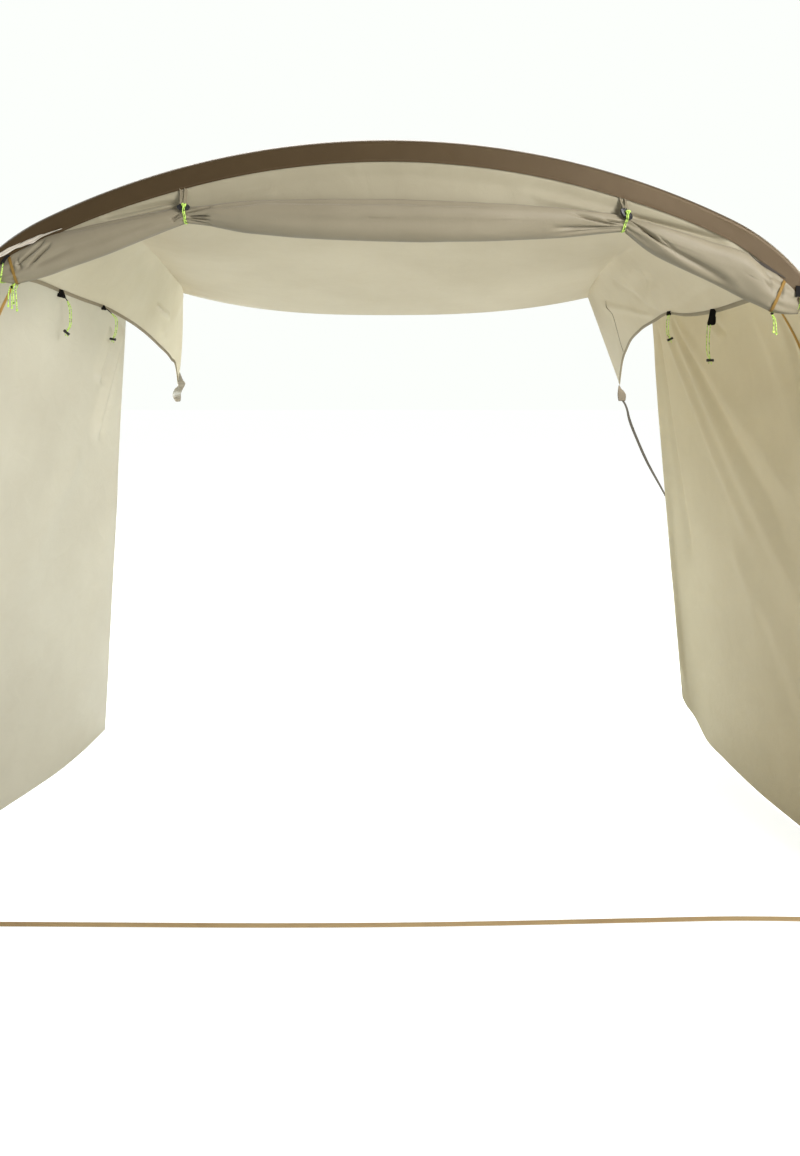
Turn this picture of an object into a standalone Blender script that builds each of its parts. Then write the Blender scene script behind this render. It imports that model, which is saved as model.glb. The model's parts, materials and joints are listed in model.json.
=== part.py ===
# Arched fabric shelter: one bent pole in a sleeve carries a roof that is pulled back to two
# low rear tips, two side walls hang to the ground, and the front door is rolled up under the arch.
# Metres, +Z up. The origin is on the ground in the middle of the front ground strap, the arch
# stands in the plane y = 0 and the roof runs back along +Y.

import math

import bmesh
import bpy
import numpy as np

GAP = 0.0003                 # clearance between pieces that touch

# Arch, measured on the outer line of its sleeve
CROWN_RADIUS = 2.20
CROWN_ANGLE = math.radians(26)
SHOULDER_RADIUS = 0.60
LEG_ANGLE = math.radians(82)
CROWN_LENGTH = CROWN_RADIUS * CROWN_ANGLE
SHOULDER_LENGTH = SHOULDER_RADIUS * (LEG_ANGLE - CROWN_ANGLE)
ARC_LENGTH = CROWN_LENGTH + SHOULDER_LENGTH
POLE_RADIUS = 0.007
SLEEVE_ROUND = 0.010         # outside radius of the sleeve where it wraps the pole
SLEEVE_BORE = 0.0076
SLEEVE_EDGE = 0.0035         # half the thickness of the sleeve's stitched lower edge
SLEEVE_CROWN_HEIGHT = 0.061
SLEEVE_LEG_HEIGHT = 0.055
SLEEVE_END_Z = 0.075
POLE_END_Z = 0.038

# Roof
FABRIC = 0.004               # thickness of the cloth solids
REAR_Y = 2.35
FRONT_Y = SLEEVE_ROUND + GAP
EAVE_FRONT_Z = 1.80
CREASE = 0.69                # share of the half width where the roof turns down at the rear corners
CREASE_FRONT_X = 0.84
REAR_LEFT_CORNER = (-1.183, 2.045)
REAR_RIGHT_CORNER = (1.092, 2.020)
REAR_MID_Z = 1.921
REAR_SAG_POWER = 2.6
LEFT_EAVE = [(-1.190, 0.45, 1.857), (-1.190, 0.69, 1.838), (-1.175, 1.08, 1.836), (-1.158, 1.31, 1.797),
             (-1.172, 1.57, 1.772), (-1.190, 1.89, 1.723), (-1.204, 2.18, 1.662), (-1.210, 2.30, 1.615),
             (-1.212, REAR_Y, 1.530)]
RIGHT_EAVE = [(1.195, 0.44, 1.793), (1.190, 0.74, 1.795), (1.165, 1.18, 1.829), (1.170, 1.37, 1.829),
              (1.200, 1.71, 1.815), (1.240, 2.07, 1.738), (1.262, 2.27, 1.630), (1.271, REAR_Y, 1.528)]
EAVE_TAPE_WIDTH = 0.030
EAVE_TAPE = 0.005
WALL_SHARE = 0.55            # share of the roof's depth over which a wall hangs
WALL_ROWS = 11               # rows of faces over a wall, shared by the roof, the eave tape and the wall
WING_ROWS = 10               # rows from there to the rear tips, closer together towards the tips
WALL_HEIGHT_ROWS = 14
WALL_TOP_END = FRONT_Y + (REAR_Y - FRONT_Y) * WALL_SHARE

# Side walls: their foot line on the ground, front to back
LEFT_FOOT_LINE = [(-1.389, 0.636, 0.0), (-1.348, 0.777, 0.0), (-1.305, 0.944, 0.0), (-1.283, 1.09, 0.0),
                  (-1.265, 1.344, 0.0)]
RIGHT_FOOT_LINE = [(1.408, 0.554, 0.0), (1.378, 0.738, 0.0), (1.358, 0.957, 0.0), (1.348, 1.13, 0.0),
                   (1.338, 1.20, 0.012), (1.302, 1.27, 0.10), (1.251, 1.30, 0.19)]
WALL_DROP = 0.0026           # the walls' top edge below the eave line
WALL_LIFT = 0.0005
FOOT_CLEARANCE = 0.012       # the walls' front lower corners pass over the feet
ZIP_WIDTH = 0.012
ZIP = 0.0016
ZIP_SEAT = 0.0012            # the wall's flat faces bulge this much between their edges

# Rolled-up front door: (x, top, bottom, half depth) along each swag
ROLL_Y = 0.012
CENTRE_ROLL = [(-0.566, 2.016, 1.970, 0.022), (-0.500, 2.018, 1.962, 0.028), (-0.400, 2.028, 1.945, 0.033),
               (-0.244, 2.034, 1.931, 0.037), (0.036, 2.036, 1.920, 0.038), (0.316, 2.024, 1.922, 0.037),
               (0.500, 2.008, 1.932, 0.033), (0.600, 1.998, 1.941, 0.028), (0.672, 1.992, 1.946, 0.022)]
LEFT_ROLL = [(-1.095, 1.808, 1.786, 0.018), (-1.056, 1.846, 1.790, 0.025), (-1.000, 1.888, 1.800, 0.030),
             (-0.916, 1.928, 1.833, 0.033), (-0.800, 1.962, 1.877, 0.032), (-0.640, 2.000, 1.941, 0.027),
             (-0.566, 2.016, 1.970, 0.022)]
RIGHT_ROLL = [(0.672, 1.992, 1.946, 0.022), (0.740, 1.980, 1.915, 0.028), (0.876, 1.943, 1.850, 0.034),
              (0.960, 1.905, 1.800, 0.036), (1.030, 1.866, 1.745, 0.036), (1.080, 1.822, 1.717, 0.032),
              (1.135, 1.758, 1.708, 0.022)]
APRON_REACH = 0.90           # the apron between sleeve and roll ends at this x on both sides
APRON_Y = 0.0019
APRON_SEAM = 0.0010          # below the sleeve edge, whose sections are joined by straight runs
APRON_GAP = 0.0016           # the roll bulges up a little between its sections

# Ties
TIE_X = (-0.566, 0.672)
LOCK_Z = 1.996
LOCK_SIZE = (0.015, 0.007, 0.010)     # half sizes along x, y, z
HANGER_WIDTH = 0.018
HANGER = 0.002
TAB_WIDTH = 0.014
TAB = 0.002
CORD_RADIUS = 0.0015
TOGGLE_LENGTH = 0.025
TOGGLE_RADIUS = 0.004

# Ground parts
GROUND_STRAP_WIDTH = 0.018
STRAP = 0.002
FOOT_PAD_RADIUS = 0.022
FOOT_HEIGHT = 0.036


# Finishes

def linear(channel):
    value = channel / 255
    return value / 12.92 if value <= 0.04045 else ((value + 0.055) / 1.055) ** 2.4


def finish(name, rgb, roughness, metallic=0.0):
    material = bpy.data.materials.new(name)
    material.use_nodes = True
    shader = material.node_tree.nodes["Principled BSDF"]
    shader.inputs["Base Color"].default_value = (*[linear(channel) for channel in rgb], 1.0)
    shader.inputs["Roughness"].default_value = roughness
    shader.inputs["Metallic"].default_value = metallic
    return material


# Smooth curves through chosen points

def smooth_at(stations, values, where):
    """Value at a place on the smooth curve that passes the values at their rising stations."""
    stations = np.asarray(stations, float)
    values = np.asarray(values, float)
    slopes = np.gradient(values, stations, axis=0)
    left = int(np.clip(np.searchsorted(stations, where) - 1, 0, len(stations) - 2))
    step = stations[left + 1] - stations[left]
    t = (where - stations[left]) / step
    return ((2 * t**3 - 3 * t**2 + 1) * values[left] + (t**3 - 2 * t**2 + t) * step * slopes[left]
            + (3 * t**2 - 2 * t**3) * values[left + 1] + (t**3 - t**2) * step * slopes[left + 1])


def smooth_path(points, count):
    """Evenly spread points on the smooth curve through the given ones."""
    points = np.asarray(points, float)
    lengths = np.linalg.norm(np.diff(points, axis=0), axis=1)
    stations = np.concatenate([[0.0], np.cumsum(lengths)])
    return [smooth_at(stations, points, where) for where in np.linspace(0, stations[-1], count)]


def ease(t):
    t = min(max(t, 0.0), 1.0)
    return t * t * (3 - 2 * t)


def bisect(falls_below, low, high):
    """The place where the test changes from false to true."""
    for _ in range(40):
        middle = (low + high) / 2
        if falls_below(middle):
            high = middle
        else:
            low = middle
    return (low + high) / 2


# Arch line

def arch_point(run, inset):
    """(x, z) at a run from the crown along the outer line, + to the right, inset towards the inside."""
    side = 1 if run >= 0 else -1
    run = abs(run)
    angle = min(run, CROWN_LENGTH) / CROWN_RADIUS
    centre = np.array([0.0, 0.0])
    radius = CROWN_RADIUS
    if run > CROWN_LENGTH:
        centre = (CROWN_RADIUS - SHOULDER_RADIUS) * np.array([math.sin(CROWN_ANGLE), math.cos(CROWN_ANGLE)])
        radius = SHOULDER_RADIUS
        angle = min(CROWN_ANGLE + (run - CROWN_LENGTH) / SHOULDER_RADIUS, LEG_ANGLE)
    point = centre + (radius - inset) * np.array([math.sin(angle), math.cos(angle)])
    straight = max(0.0, run - ARC_LENGTH)
    point = point + straight * np.array([math.cos(LEG_ANGLE), -math.sin(LEG_ANGLE)])
    return side * point[0], point[1]


def run_at_height(height, inset):
    return bisect(lambda run: arch_point(run, inset)[1] < height, 0.0, 4.0)


def run_at_x(x, inset):
    return bisect(lambda run: arch_point(run, inset)[0] > abs(x), 0.0, ARC_LENGTH)


def sleeve_height(run):
    share = ease((abs(run) - 0.6) / 0.4)
    return SLEEVE_CROWN_HEIGHT + share * (SLEEVE_LEG_HEIGHT - SLEEVE_CROWN_HEIGHT)


def sleeve_edge_z(x):
    """Height of the sleeve's lower edge at a place across the front."""
    run = bisect(lambda run: arch_point(run, sleeve_height(run))[0] > abs(x), 0.0, ARC_LENGTH)
    return arch_point(run, sleeve_height(run))[1]


# Meshes

def finish_object(name, mesh, material):
    piece = bpy.data.objects.new(name, mesh)
    bpy.context.scene.collection.objects.link(piece)
    piece.data.materials.append(material)
    return piece


def mesh_from(name, points, faces, material, smooth=True):
    """One closed body with all its faces turned outwards."""
    mesh = bpy.data.meshes.new(name)
    mesh.from_pydata([tuple(point) for point in points], [], faces)
    body = bmesh.new()
    body.from_mesh(mesh)
    bmesh.ops.recalc_face_normals(body, faces=body.faces)
    bmesh.ops.triangulate(body, faces=body.faces)
    body.to_mesh(mesh)
    body.free()
    if smooth:
        mesh.shade_smooth()
        mesh.set_sharp_from_angle(angle=math.radians(35))
    return finish_object(name, mesh, material)


def loft(name, rings, material, closed=False):
    """Body through rings of equal size, with flat ends unless the row of rings is closed."""
    size = len(rings[0])
    faces = []
    for ring in range(len(rings) if closed else len(rings) - 1):
        here, there = ring * size, (ring + 1) % len(rings) * size
        for k in range(size):
            faces.append((here + k, here + (k + 1) % size, there + (k + 1) % size, there + k))
    if not closed:
        last = (len(rings) - 1) * size
        faces.append(tuple(range(size)))
        faces.append(tuple(range(last, last + size)))
    return mesh_from(name, [point for ring in rings for point in ring], faces, material)


def surface_normal(surface, a, b, step_a=1e-4, step_b=1e-4):
    run_a = np.array(surface(a + step_a, b)) - np.array(surface(a - step_a, b))
    run_b = np.array(surface(a, b + step_b)) - np.array(surface(a, b - step_b))
    normal = np.cross(run_a, run_b)
    return normal / np.linalg.norm(normal)


def even(count):
    return np.linspace(0, 1, count + 1)


def thick_sheet(name, surface, places_a, places_b, thickness, material, offset=0.0, normal_at=None):
    """Closed sheet round surface(a, b), a and b from 0 to 1, moved off it along its normal."""
    upper, lower = [], []
    for b in places_b:
        for a in places_a:
            point = np.array(surface(a, b))
            normal = normal_at(a, b) if normal_at else surface_normal(surface, a, b)
            upper.append(point + normal * (offset + thickness / 2))
            lower.append(point + normal * (offset - thickness / 2))
    across, along = len(places_a) - 1, len(places_b) - 1
    width, count = across + 1, len(upper)
    faces = []
    for row in range(along):
        for column in range(across):
            k = row * width + column
            quad = (k, k + 1, k + width + 1, k + width)
            faces.append(quad)
            faces.append(tuple(count + index for index in quad))
    rim = list(range(width)) + [row * width + across for row in range(1, along + 1)]
    rim += [along * width + column for column in range(across - 1, -1, -1)]
    rim += [row * width for row in range(along - 1, 0, -1)]
    for k, here in enumerate(rim):
        there = rim[(k + 1) % len(rim)]
        faces.append((here, there, count + there, count + here))
    return mesh_from(name, upper + lower, faces, material)


def ribbon_rings(path, width, thickness, width_directions):
    """Rectangular sections of a strap along a path; each width direction is squared to the path."""
    path = [np.asarray(point, float) for point in path]
    rings = []
    for k, point in enumerate(path):
        forward = path[min(k + 1, len(path) - 1)] - path[max(k - 1, 0)]
        forward /= np.linalg.norm(forward)
        wide = np.asarray(width_directions[k], float)
        wide = wide - forward * wide.dot(forward)
        wide /= np.linalg.norm(wide)
        thick = np.cross(forward, wide)
        corners = [(-1, -1), (1, -1), (1, 1), (-1, 1)]
        rings.append([point + wide * a * width / 2 + thick * b * thickness / 2 for a, b in corners])
    return rings


def ribbon(name, path, width, thickness, direction, material):
    return loft(name, ribbon_rings(path, width, thickness, [direction] * len(path)), material)


def cord(name, path, material, radius=CORD_RADIUS):
    """Round cord as a bevelled curve with closed ends."""
    curve = bpy.data.curves.new(name, "CURVE")
    curve.dimensions = "3D"
    curve.bevel_depth = radius
    curve.bevel_resolution = 2
    curve.use_fill_caps = True
    spline = curve.splines.new("POLY")
    spline.points.add(len(path) - 1)
    for point, place in zip(spline.points, path):
        point.co = (*place, 1.0)
    return finish_object(name, curve, material)


# Pole and sleeve

def crown_runs():
    return np.linspace(-CROWN_LENGTH, CROWN_LENGTH, 25)


def leg_runs(side, end_z):
    """Runs down one shoulder and its straight leg to an end height."""
    shoulder = np.linspace(CROWN_LENGTH + GAP, ARC_LENGTH, 11)
    return [side * run for run in shoulder] + [side * run_at_height(end_z, SLEEVE_ROUND)]


def build_pole(name, runs, material):
    rings = []
    for run in runs:
        ring = []
        for k in range(12):
            angle = math.tau * k / 12
            x, z = arch_point(run, SLEEVE_ROUND - POLE_RADIUS * math.cos(angle))
            ring.append((x, POLE_RADIUS * math.sin(angle), z))
        rings.append(ring)
    loft(name, rings, material)


def sleeve_section(height):
    """Outer and inner outline of the sleeve as (inset, y): round over the pole, flat below it."""
    arc = [math.radians(angle) for angle in range(-112, 113, 28)]
    outer = [(SLEEVE_ROUND * (1 - math.cos(a)), SLEEVE_ROUND * math.sin(a)) for a in arc]
    outer += [(height, SLEEVE_EDGE), (height, -SLEEVE_EDGE)]
    round_bore = [math.tau * (k - len(arc) // 2) / len(outer) for k in range(len(outer))]
    inner = [(SLEEVE_ROUND - SLEEVE_BORE * math.cos(a), SLEEVE_BORE * math.sin(a)) for a in round_bore]
    return outer, inner


def build_sleeve(name, runs, material):
    points = []
    size = len(sleeve_section(SLEEVE_CROWN_HEIGHT)[0])
    for run in runs:
        for outline in sleeve_section(sleeve_height(run)):
            for inset, y in outline:
                x, z = arch_point(run, inset)
                points.append((x, y, z))
    faces = []
    for ring in range(len(runs) - 1):
        for part in (0, size):
            here, there = ring * 2 * size + part, (ring + 1) * 2 * size + part
            for k in range(size):
                faces.append((here + k, here + (k + 1) % size, there + (k + 1) % size, there + k))
    for here in (0, (len(runs) - 1) * 2 * size):
        for k in range(size):
            following = (k + 1) % size
            faces.append((here + k, here + following, here + size + following, here + size + k))
    mesh_from(name, points, faces, material)


def build_foot(name, side, material):
    """Turned plastic foot under the pole's end, with a broad pad on the ground."""
    x, _ = arch_point(run_at_height(FOOT_HEIGHT, SLEEVE_ROUND), SLEEVE_ROUND)
    profile = [(FOOT_PAD_RADIUS, 0.0), (FOOT_PAD_RADIUS, 0.004), (0.010, 0.008), (0.0095, FOOT_HEIGHT)]
    rings = []
    for radius, z in profile:
        ring = []
        for k in range(16):
            angle = math.tau * k / 16
            ring.append((side * x + radius * math.cos(angle), radius * math.sin(angle), z))
        rings.append(ring)
    loft(name, rings, material)


# Roof surface

def eave_point(side, y):
    """Lower edge of the roof at a depth behind the arch; side is -1 left, 1 right."""
    front = arch_point(side * run_at_height(EAVE_FRONT_Z, SLEEVE_ROUND), SLEEVE_ROUND)
    points = [(front[0], FRONT_Y, front[1])] + (LEFT_EAVE if side < 0 else RIGHT_EAVE)
    return smooth_at([point[1] for point in points], points, y)


def roof_front(u):
    """Front edge (x, z), u from -1 at the left eave to 1 at the right eave."""
    crease = run_at_x(CREASE_FRONT_X, SLEEVE_ROUND)
    eave = run_at_height(EAVE_FRONT_Z, SLEEVE_ROUND)
    run = crease * min(abs(u), CREASE) / CREASE
    run += (eave - crease) * max(0.0, abs(u) - CREASE) / (1 - CREASE)
    return np.array(arch_point(math.copysign(run, u), SLEEVE_ROUND))


def roof_rear(u):
    """Rear edge (x, z): sagging between the corners, then down to the tips."""
    left, right = np.array(REAR_LEFT_CORNER), np.array(REAR_RIGHT_CORNER)
    if abs(u) <= CREASE:
        share = u / CREASE
        x = (left[0] + right[0]) / 2 + share * (right[0] - left[0]) / 2
        corner_z = left[1] if u < 0 else right[1]
        return np.array([x, REAR_MID_Z + (corner_z - REAR_MID_Z) * abs(share) ** REAR_SAG_POWER])
    corner = left if u < 0 else right
    tip = eave_point(math.copysign(1, u), REAR_Y)[[0, 2]]
    share = (abs(u) - CREASE) / (1 - CREASE)
    return corner + (tip - corner) * np.array([share ** 3 if u < 0 else share, share])


def roof_point(u, v):
    """Middle of the roof cloth, v from 0 at the arch to 1 at the rear edge."""
    y = FRONT_Y + v * (REAR_Y - FRONT_Y)
    section = (1 - v) * roof_front(u) + v * roof_rear(u)
    side = math.copysign(1, u)
    straight = (1 - v) * roof_front(side) + v * roof_rear(side)
    pull = max(0.0, (abs(u) - 0.45) / 0.55) ** 1.5
    section = section + pull * (eave_point(side, y)[[0, 2]] - straight)
    return section[0], y, section[1]


def roof_normal(u, v):
    """Upward normal, taken over a wide step so that the pieces on both sides of a crease share it."""
    return surface_normal(roof_point, u, v, 0.012, 0.001)


def tape_share(v):
    """Share of the half width that the tape along the eave takes."""
    wing = 0.41 + 0.105 * v
    return (1 - CREASE) * EAVE_TAPE_WIDTH / wing


def roof_rows():
    over_wall = [WALL_SHARE * place for place in even(WALL_ROWS)]
    return over_wall + [1 - (1 - WALL_SHARE) * (1 - place) ** 1.7 for place in even(WING_ROWS)[1:]]


def build_roof_piece(name, place, across, thickness, material):
    """Sheet over the part of the roof that place(a, b) gives as (u, v)."""
    thick_sheet(name, lambda a, b: roof_point(*place(a, b)), even(across), roof_rows(), thickness, material,
                normal_at=lambda a, b: roof_normal(*place(a, b)))


def build_roof(cloth, tape):
    seam = 0.0003
    build_roof_piece("roof_centre", lambda a, b: ((2 * a - 1) * (CREASE - seam), b), 16, FABRIC, cloth)
    for name, side in (("left", -1), ("right", 1)):
        def panel(a, b, side=side):
            return side * (CREASE + seam + a * (1 - CREASE - 2 * seam - tape_share(b))), b

        def binding(a, b, side=side):
            return side * (1 - (1 - a) * tape_share(b)), b

        build_roof_piece(f"roof_{name}", panel, 8, FABRIC, cloth)
        build_roof_piece(f"{name}_eave_tape", binding, 1, EAVE_TAPE, tape)


# Side walls

def wall_point(side, s, t):
    """Middle of a wall's cloth, s from the arch to the free rear edge, t from the ground up."""
    foot_line = LEFT_FOOT_LINE if side < 0 else RIGHT_FOOT_LINE
    ground_run = run_at_height(0.0, SLEEVE_ROUND)
    front_foot = (side * arch_point(ground_run, SLEEVE_ROUND)[0], FRONT_Y, 0.0)
    points = np.array([front_foot] + foot_line)
    steps = np.linalg.norm(np.diff(points, axis=0), axis=1)
    stations = np.concatenate([[0.0], np.cumsum(steps)])
    bottom = smooth_at(stations, points, s * stations[-1])
    bottom[2] = max(bottom[2], 0.0) + WALL_LIFT + FOOT_CLEARANCE * max(0.0, 1 - WALL_ROWS * s)
    top = eave_point(side, FRONT_Y + s * (WALL_TOP_END - FRONT_Y)) - np.array([0, 0, WALL_DROP])
    point = bottom + t * (top - bottom)
    front_z = (1 - t) * (WALL_LIFT + FOOT_CLEARANCE) + t * (EAVE_FRONT_Z - WALL_DROP)
    on_arch = side * arch_point(run_at_height(front_z, SLEEVE_ROUND), SLEEVE_ROUND)[0]
    front_top = eave_point(side, FRONT_Y)[0]
    on_chord = front_foot[0] + t * (front_top - front_foot[0])
    point[0] += (on_arch - on_chord) * max(0.0, 1 - s) ** 2
    return point


def zip_depth(side, t):
    """Share s of the wall at which the zip tape runs, nearer the leg at the ground."""
    top = 0.235 if side < 0 else 0.175
    return 0.07 + (top - 0.07) * max(t, 0.0) ** 1.5


def build_walls(cloth, zip_tape):
    for name, side in (("left", -1), ("right", 1)):
        thick_sheet(f"{name}_wall", lambda a, b, side=side: wall_point(side, a, b), even(WALL_ROWS),
                    even(WALL_HEIGHT_ROWS), FABRIC, cloth)

        def tape(a, b, side=side):
            return wall_point(side, zip_depth(side, b) + (a - 0.5) * ZIP_WIDTH / 1.35, b)

        inward = side * (FABRIC / 2 + ZIP_SEAT + ZIP / 2)
        thick_sheet(f"{name}_wall_zip", tape, even(1), even(WALL_HEIGHT_ROWS), ZIP, zip_tape, offset=inward)


# Rolled-up door

def roll_ring(stations, x, extra=0.0, sides=16):
    """Upright oval section of a swag at x, in the plane of y and z."""
    table = np.array(stations)
    top, bottom, depth = smooth_at(table[:, 0], table[:, 1:], x)
    ring = []
    for k in range(sides):
        angle = math.tau * k / sides
        y = ROLL_Y + (depth + extra) * math.cos(angle)
        z = (top + bottom) / 2 + ((top - bottom) / 2 + extra) * math.sin(angle)
        ring.append((x, y, z))
    return ring


def build_roll(name, stations, count, material):
    start, end = stations[0][0] + GAP / 2, stations[-1][0] - GAP / 2
    loft(name, [roll_ring(stations, x) for x in np.linspace(start, end, count)], material)


def roll_top(x):
    stations = LEFT_ROLL if x < TIE_X[0] else CENTRE_ROLL if x < TIE_X[1] else RIGHT_ROLL
    table = np.array(stations)
    return smooth_at(table[:, 0], table[:, 1], x)


def build_apron(material):
    """Door cloth that hangs from the sleeve's lower edge to the top of the roll."""
    def surface(a, b):
        x = (2 * a - 1) * APRON_REACH
        high = sleeve_edge_z(x) - APRON_SEAM
        low = roll_top(x) + APRON_GAP
        back = min(ROLL_Y - APRON_Y, 0.25 * (high - low))
        return x, APRON_Y + b * back, high + b * (low - high)

    thick_sheet("door_apron", surface, even(48), even(2), 0.0030, material)


def build_roll_band(name, stations, top_x, bottom_x, material):
    """Band of zip tape round the end of the roll, leaning from top_x to bottom_x."""
    rings = []
    sides = 24
    for k in range(sides):
        angle = math.tau * k / sides
        x = (top_x + bottom_x) / 2 + (top_x - bottom_x) / 2 * math.sin(angle)
        corners = [(x - 0.005, 0.0006), (x + 0.005, 0.0006), (x + 0.005, 0.0020), (x - 0.005, 0.0020)]
        rings.append([roll_ring(stations, place, extra, sides)[k] for place, extra in corners])
    loft(name, rings, material, closed=True)


# Ties of the roll

OVAL_CUT = 0.96              # share of its half height where an oval ends flat


def oval_rings(centre, half_sizes):
    rings = []
    for lift in (-OVAL_CUT, -0.7, 0.0, 0.7, OVAL_CUT):
        size = math.sqrt(1 - lift * lift)
        ring = []
        for k in range(14):
            angle = math.tau * k / 14
            ring.append((centre[0] + half_sizes[0] * size * math.cos(angle),
                         centre[1] + half_sizes[1] * size * math.sin(angle),
                         centre[2] + half_sizes[2] * lift))
        rings.append(ring)
    return rings


def build_upper_ties(webbing, plastic, neon):
    """Hanger from the sleeve's edge, oval cord lock below it and the cord round the roll."""
    lock_y = ROLL_Y - CENTRE_ROLL[0][3] - LOCK_SIZE[1] - GAP
    lock_top = LOCK_Z + OVAL_CUT * LOCK_SIZE[2]
    lock_bottom = LOCK_Z - OVAL_CUT * LOCK_SIZE[2]
    for name, x in zip(("left", "right"), TIE_X):
        edge = min(sleeve_edge_z(x - HANGER_WIDTH / 2), sleeve_edge_z(x + HANGER_WIDTH / 2))
        path = [(x, -0.0018, edge - APRON_SEAM), (x, -0.009, (edge + lock_top + 0.004) / 2),
                (x, lock_y + 0.0005, lock_top + 0.005), (x, lock_y, lock_top + 2 * GAP)]
        ribbon(f"{name}_upper_tie_hanger", path, HANGER_WIDTH, HANGER, (1, 0, 0), webbing)
        loft(f"{name}_upper_tie_lock", oval_rings((x, lock_y, LOCK_Z), LOCK_SIZE), plastic)
        waist = np.array(roll_ring(CENTRE_ROLL, x, CORD_RADIUS + 2 * GAP, 36))
        round_roll = [waist[k % 36] for k in range(20, 42, 2) if k > 27 or waist[k][2] < lock_bottom - 0.012]
        back_end = (x, SLEEVE_EDGE + CORD_RADIUS + 0.0016, sleeve_edge_z(x) + 0.003)
        route = [(x, lock_y, lock_bottom - 2 * GAP), (x, lock_y + 0.001, lock_bottom - 0.007)]
        route += [tuple(point) for point in round_roll]
        route += [(x, 0.022, (waist[4][2] + back_end[2]) / 2), back_end]
        cord(f"{name}_upper_tie_cord", smooth_path(route, 30), neon)


LEFT_SHOULDER_TAB = [(-1.064, -0.0094, 1.876), (-1.072, -0.0105, 1.862), (-1.078, -0.0125, 1.850)]
RIGHT_SHOULDER_TAB = [(1.150, -0.0090, 1.785), (1.149, -0.0094, 1.772), (1.147, -0.0105, 1.759)]
LEFT_SHOULDER_CORD = [(-1.0783, -0.0126, 1.8494), (-1.083, -0.0160, 1.832), (-1.082, -0.0180, 1.810),
                      (-1.070, -0.0165, 1.789), (-1.060, -0.0140, 1.778), (-1.056, -0.0130, 1.762),
                      (-1.055, -0.0130, 1.735)]
RIGHT_SHOULDER_CORD = [(1.1469, -0.0106, 1.7585), (1.144, -0.0150, 1.735), (1.133, -0.0175, 1.712),
                       (1.108, -0.0170, 1.702), (1.086, -0.0140, 1.698), (1.081, -0.0130, 1.688),
                       (1.081, -0.0130, 1.660)]


def build_shoulder_ties(plastic, neon):
    for name, path in (("left", LEFT_SHOULDER_TAB), ("right", RIGHT_SHOULDER_TAB)):
        ribbon(f"{name}_shoulder_tab", smooth_path(path, 5), TAB_WIDTH, TAB, (1, 0, 0), plastic)
    cord("left_shoulder_cord", smooth_path(LEFT_SHOULDER_CORD, 20), neon)
    cord("right_shoulder_cord", smooth_path(RIGHT_SHOULDER_CORD, 22), neon)


# Ties along the eaves: side, depth behind the arch, tab length, clearance of the tab from the eave
# tape (more where the tape curves), then the cord's route after its exit
EAVE_TIES = {
    "left_front": (-1, 0.69, 0.020, 0.0002, [(-1.167, 0.690, 1.795), (-1.161, 0.692, 1.772),
                                             (-1.167, 0.690, 1.738), (-1.174, 0.688, 1.709)]),
    "left_rear": (-1, 1.08, 0.018, 0.0011, [(-1.146, 1.080, 1.795), (-1.133, 1.082, 1.766),
                                            (-1.132, 1.080, 1.740), (-1.136, 1.078, 1.716)]),
    "right_rear": (1, 1.14, 0.018, 0.0002, [(1.152, 1.140, 1.790), (1.155, 1.142, 1.762),
                                            (1.158, 1.140, 1.724)]),
    "right_front": (1, 0.74, 0.045, 0.0003, [(1.176, 0.740, 1.735), (1.175, 0.742, 1.690),
                                             (1.173, 0.740, 1.624)]),
}
TOGGLE_TILT = {"left_front": 0.5, "left_rear": -0.15, "right_rear": -0.5, "right_front": 0.1}


def build_eave_ties(plastic, neon):
    for name, (side, depth, length, seat, route) in EAVE_TIES.items():
        v = (depth - FRONT_Y) / (REAR_Y - FRONT_Y)
        under_tape = EAVE_TAPE / 2 + TAB / 2 + seat
        path = []
        for share in (0.45, 0.1):
            u = side * (1 - share * tape_share(v))
            path.append(np.array(roof_point(u, v)) - under_tape * roof_normal(u, v))
        bend = eave_point(side, depth) - np.array([side * (FABRIC / 2 + TAB), 0.0, 0.006])
        bottom = bend - np.array([0.0, 0.0, length])
        path += [bend, (bend + bottom) / 2, bottom]
        along_tape = eave_point(side, depth + TAB_WIDTH) - eave_point(side, depth - TAB_WIDTH)
        ribbon(f"{name}_tab", path, TAB_WIDTH, TAB, along_tape, plastic)
        exit_point = bottom - np.array([0.0, 0.0, 2 * GAP])
        path = smooth_path([exit_point, exit_point - np.array([0.0, 0.0, 0.006])] + route, 22)
        cord(f"{name}_cord", path, neon)
        build_toggle(f"{name}_toggle", path[-1], TOGGLE_TILT[name], plastic)


def build_toggle(name, cord_end, tilt, material):
    """Small barrel across the end of a cord."""
    axis = np.array([math.cos(tilt), 0.0, math.sin(tilt)])
    cross = np.array([-math.sin(tilt), 0.0, math.cos(tilt)])
    below = GAP + CORD_RADIUS * abs(math.tan(tilt)) + TOGGLE_RADIUS * 0.92 / math.cos(tilt)
    centre = np.array(cord_end) - np.array([0.0, 0.0, below])
    rings = []
    for place, size in ((-1.0, 0.72), (-0.86, 1.0), (0.0, 0.92), (0.86, 1.0), (1.0, 0.72)):
        ring = []
        for k in range(12):
            angle = math.tau * k / 12
            radial = cross * math.cos(angle) + np.array([0.0, 1.0, 0.0]) * math.sin(angle)
            ring.append(centre + axis * place * TOGGLE_LENGTH / 2 + radial * TOGGLE_RADIUS * size)
        rings.append(ring)
    loft(name, rings, material)


# Rear tips, their strap and its peg

TIP_LOOP_WIDTH = 0.036
TIP_LOOP_DROP = 0.082
TIP_LOOP_RADIUS = 0.006
TIP_LOOP_SEAT = 0.0017       # under the eave line, whose last stretch is straight between two rows


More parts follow.
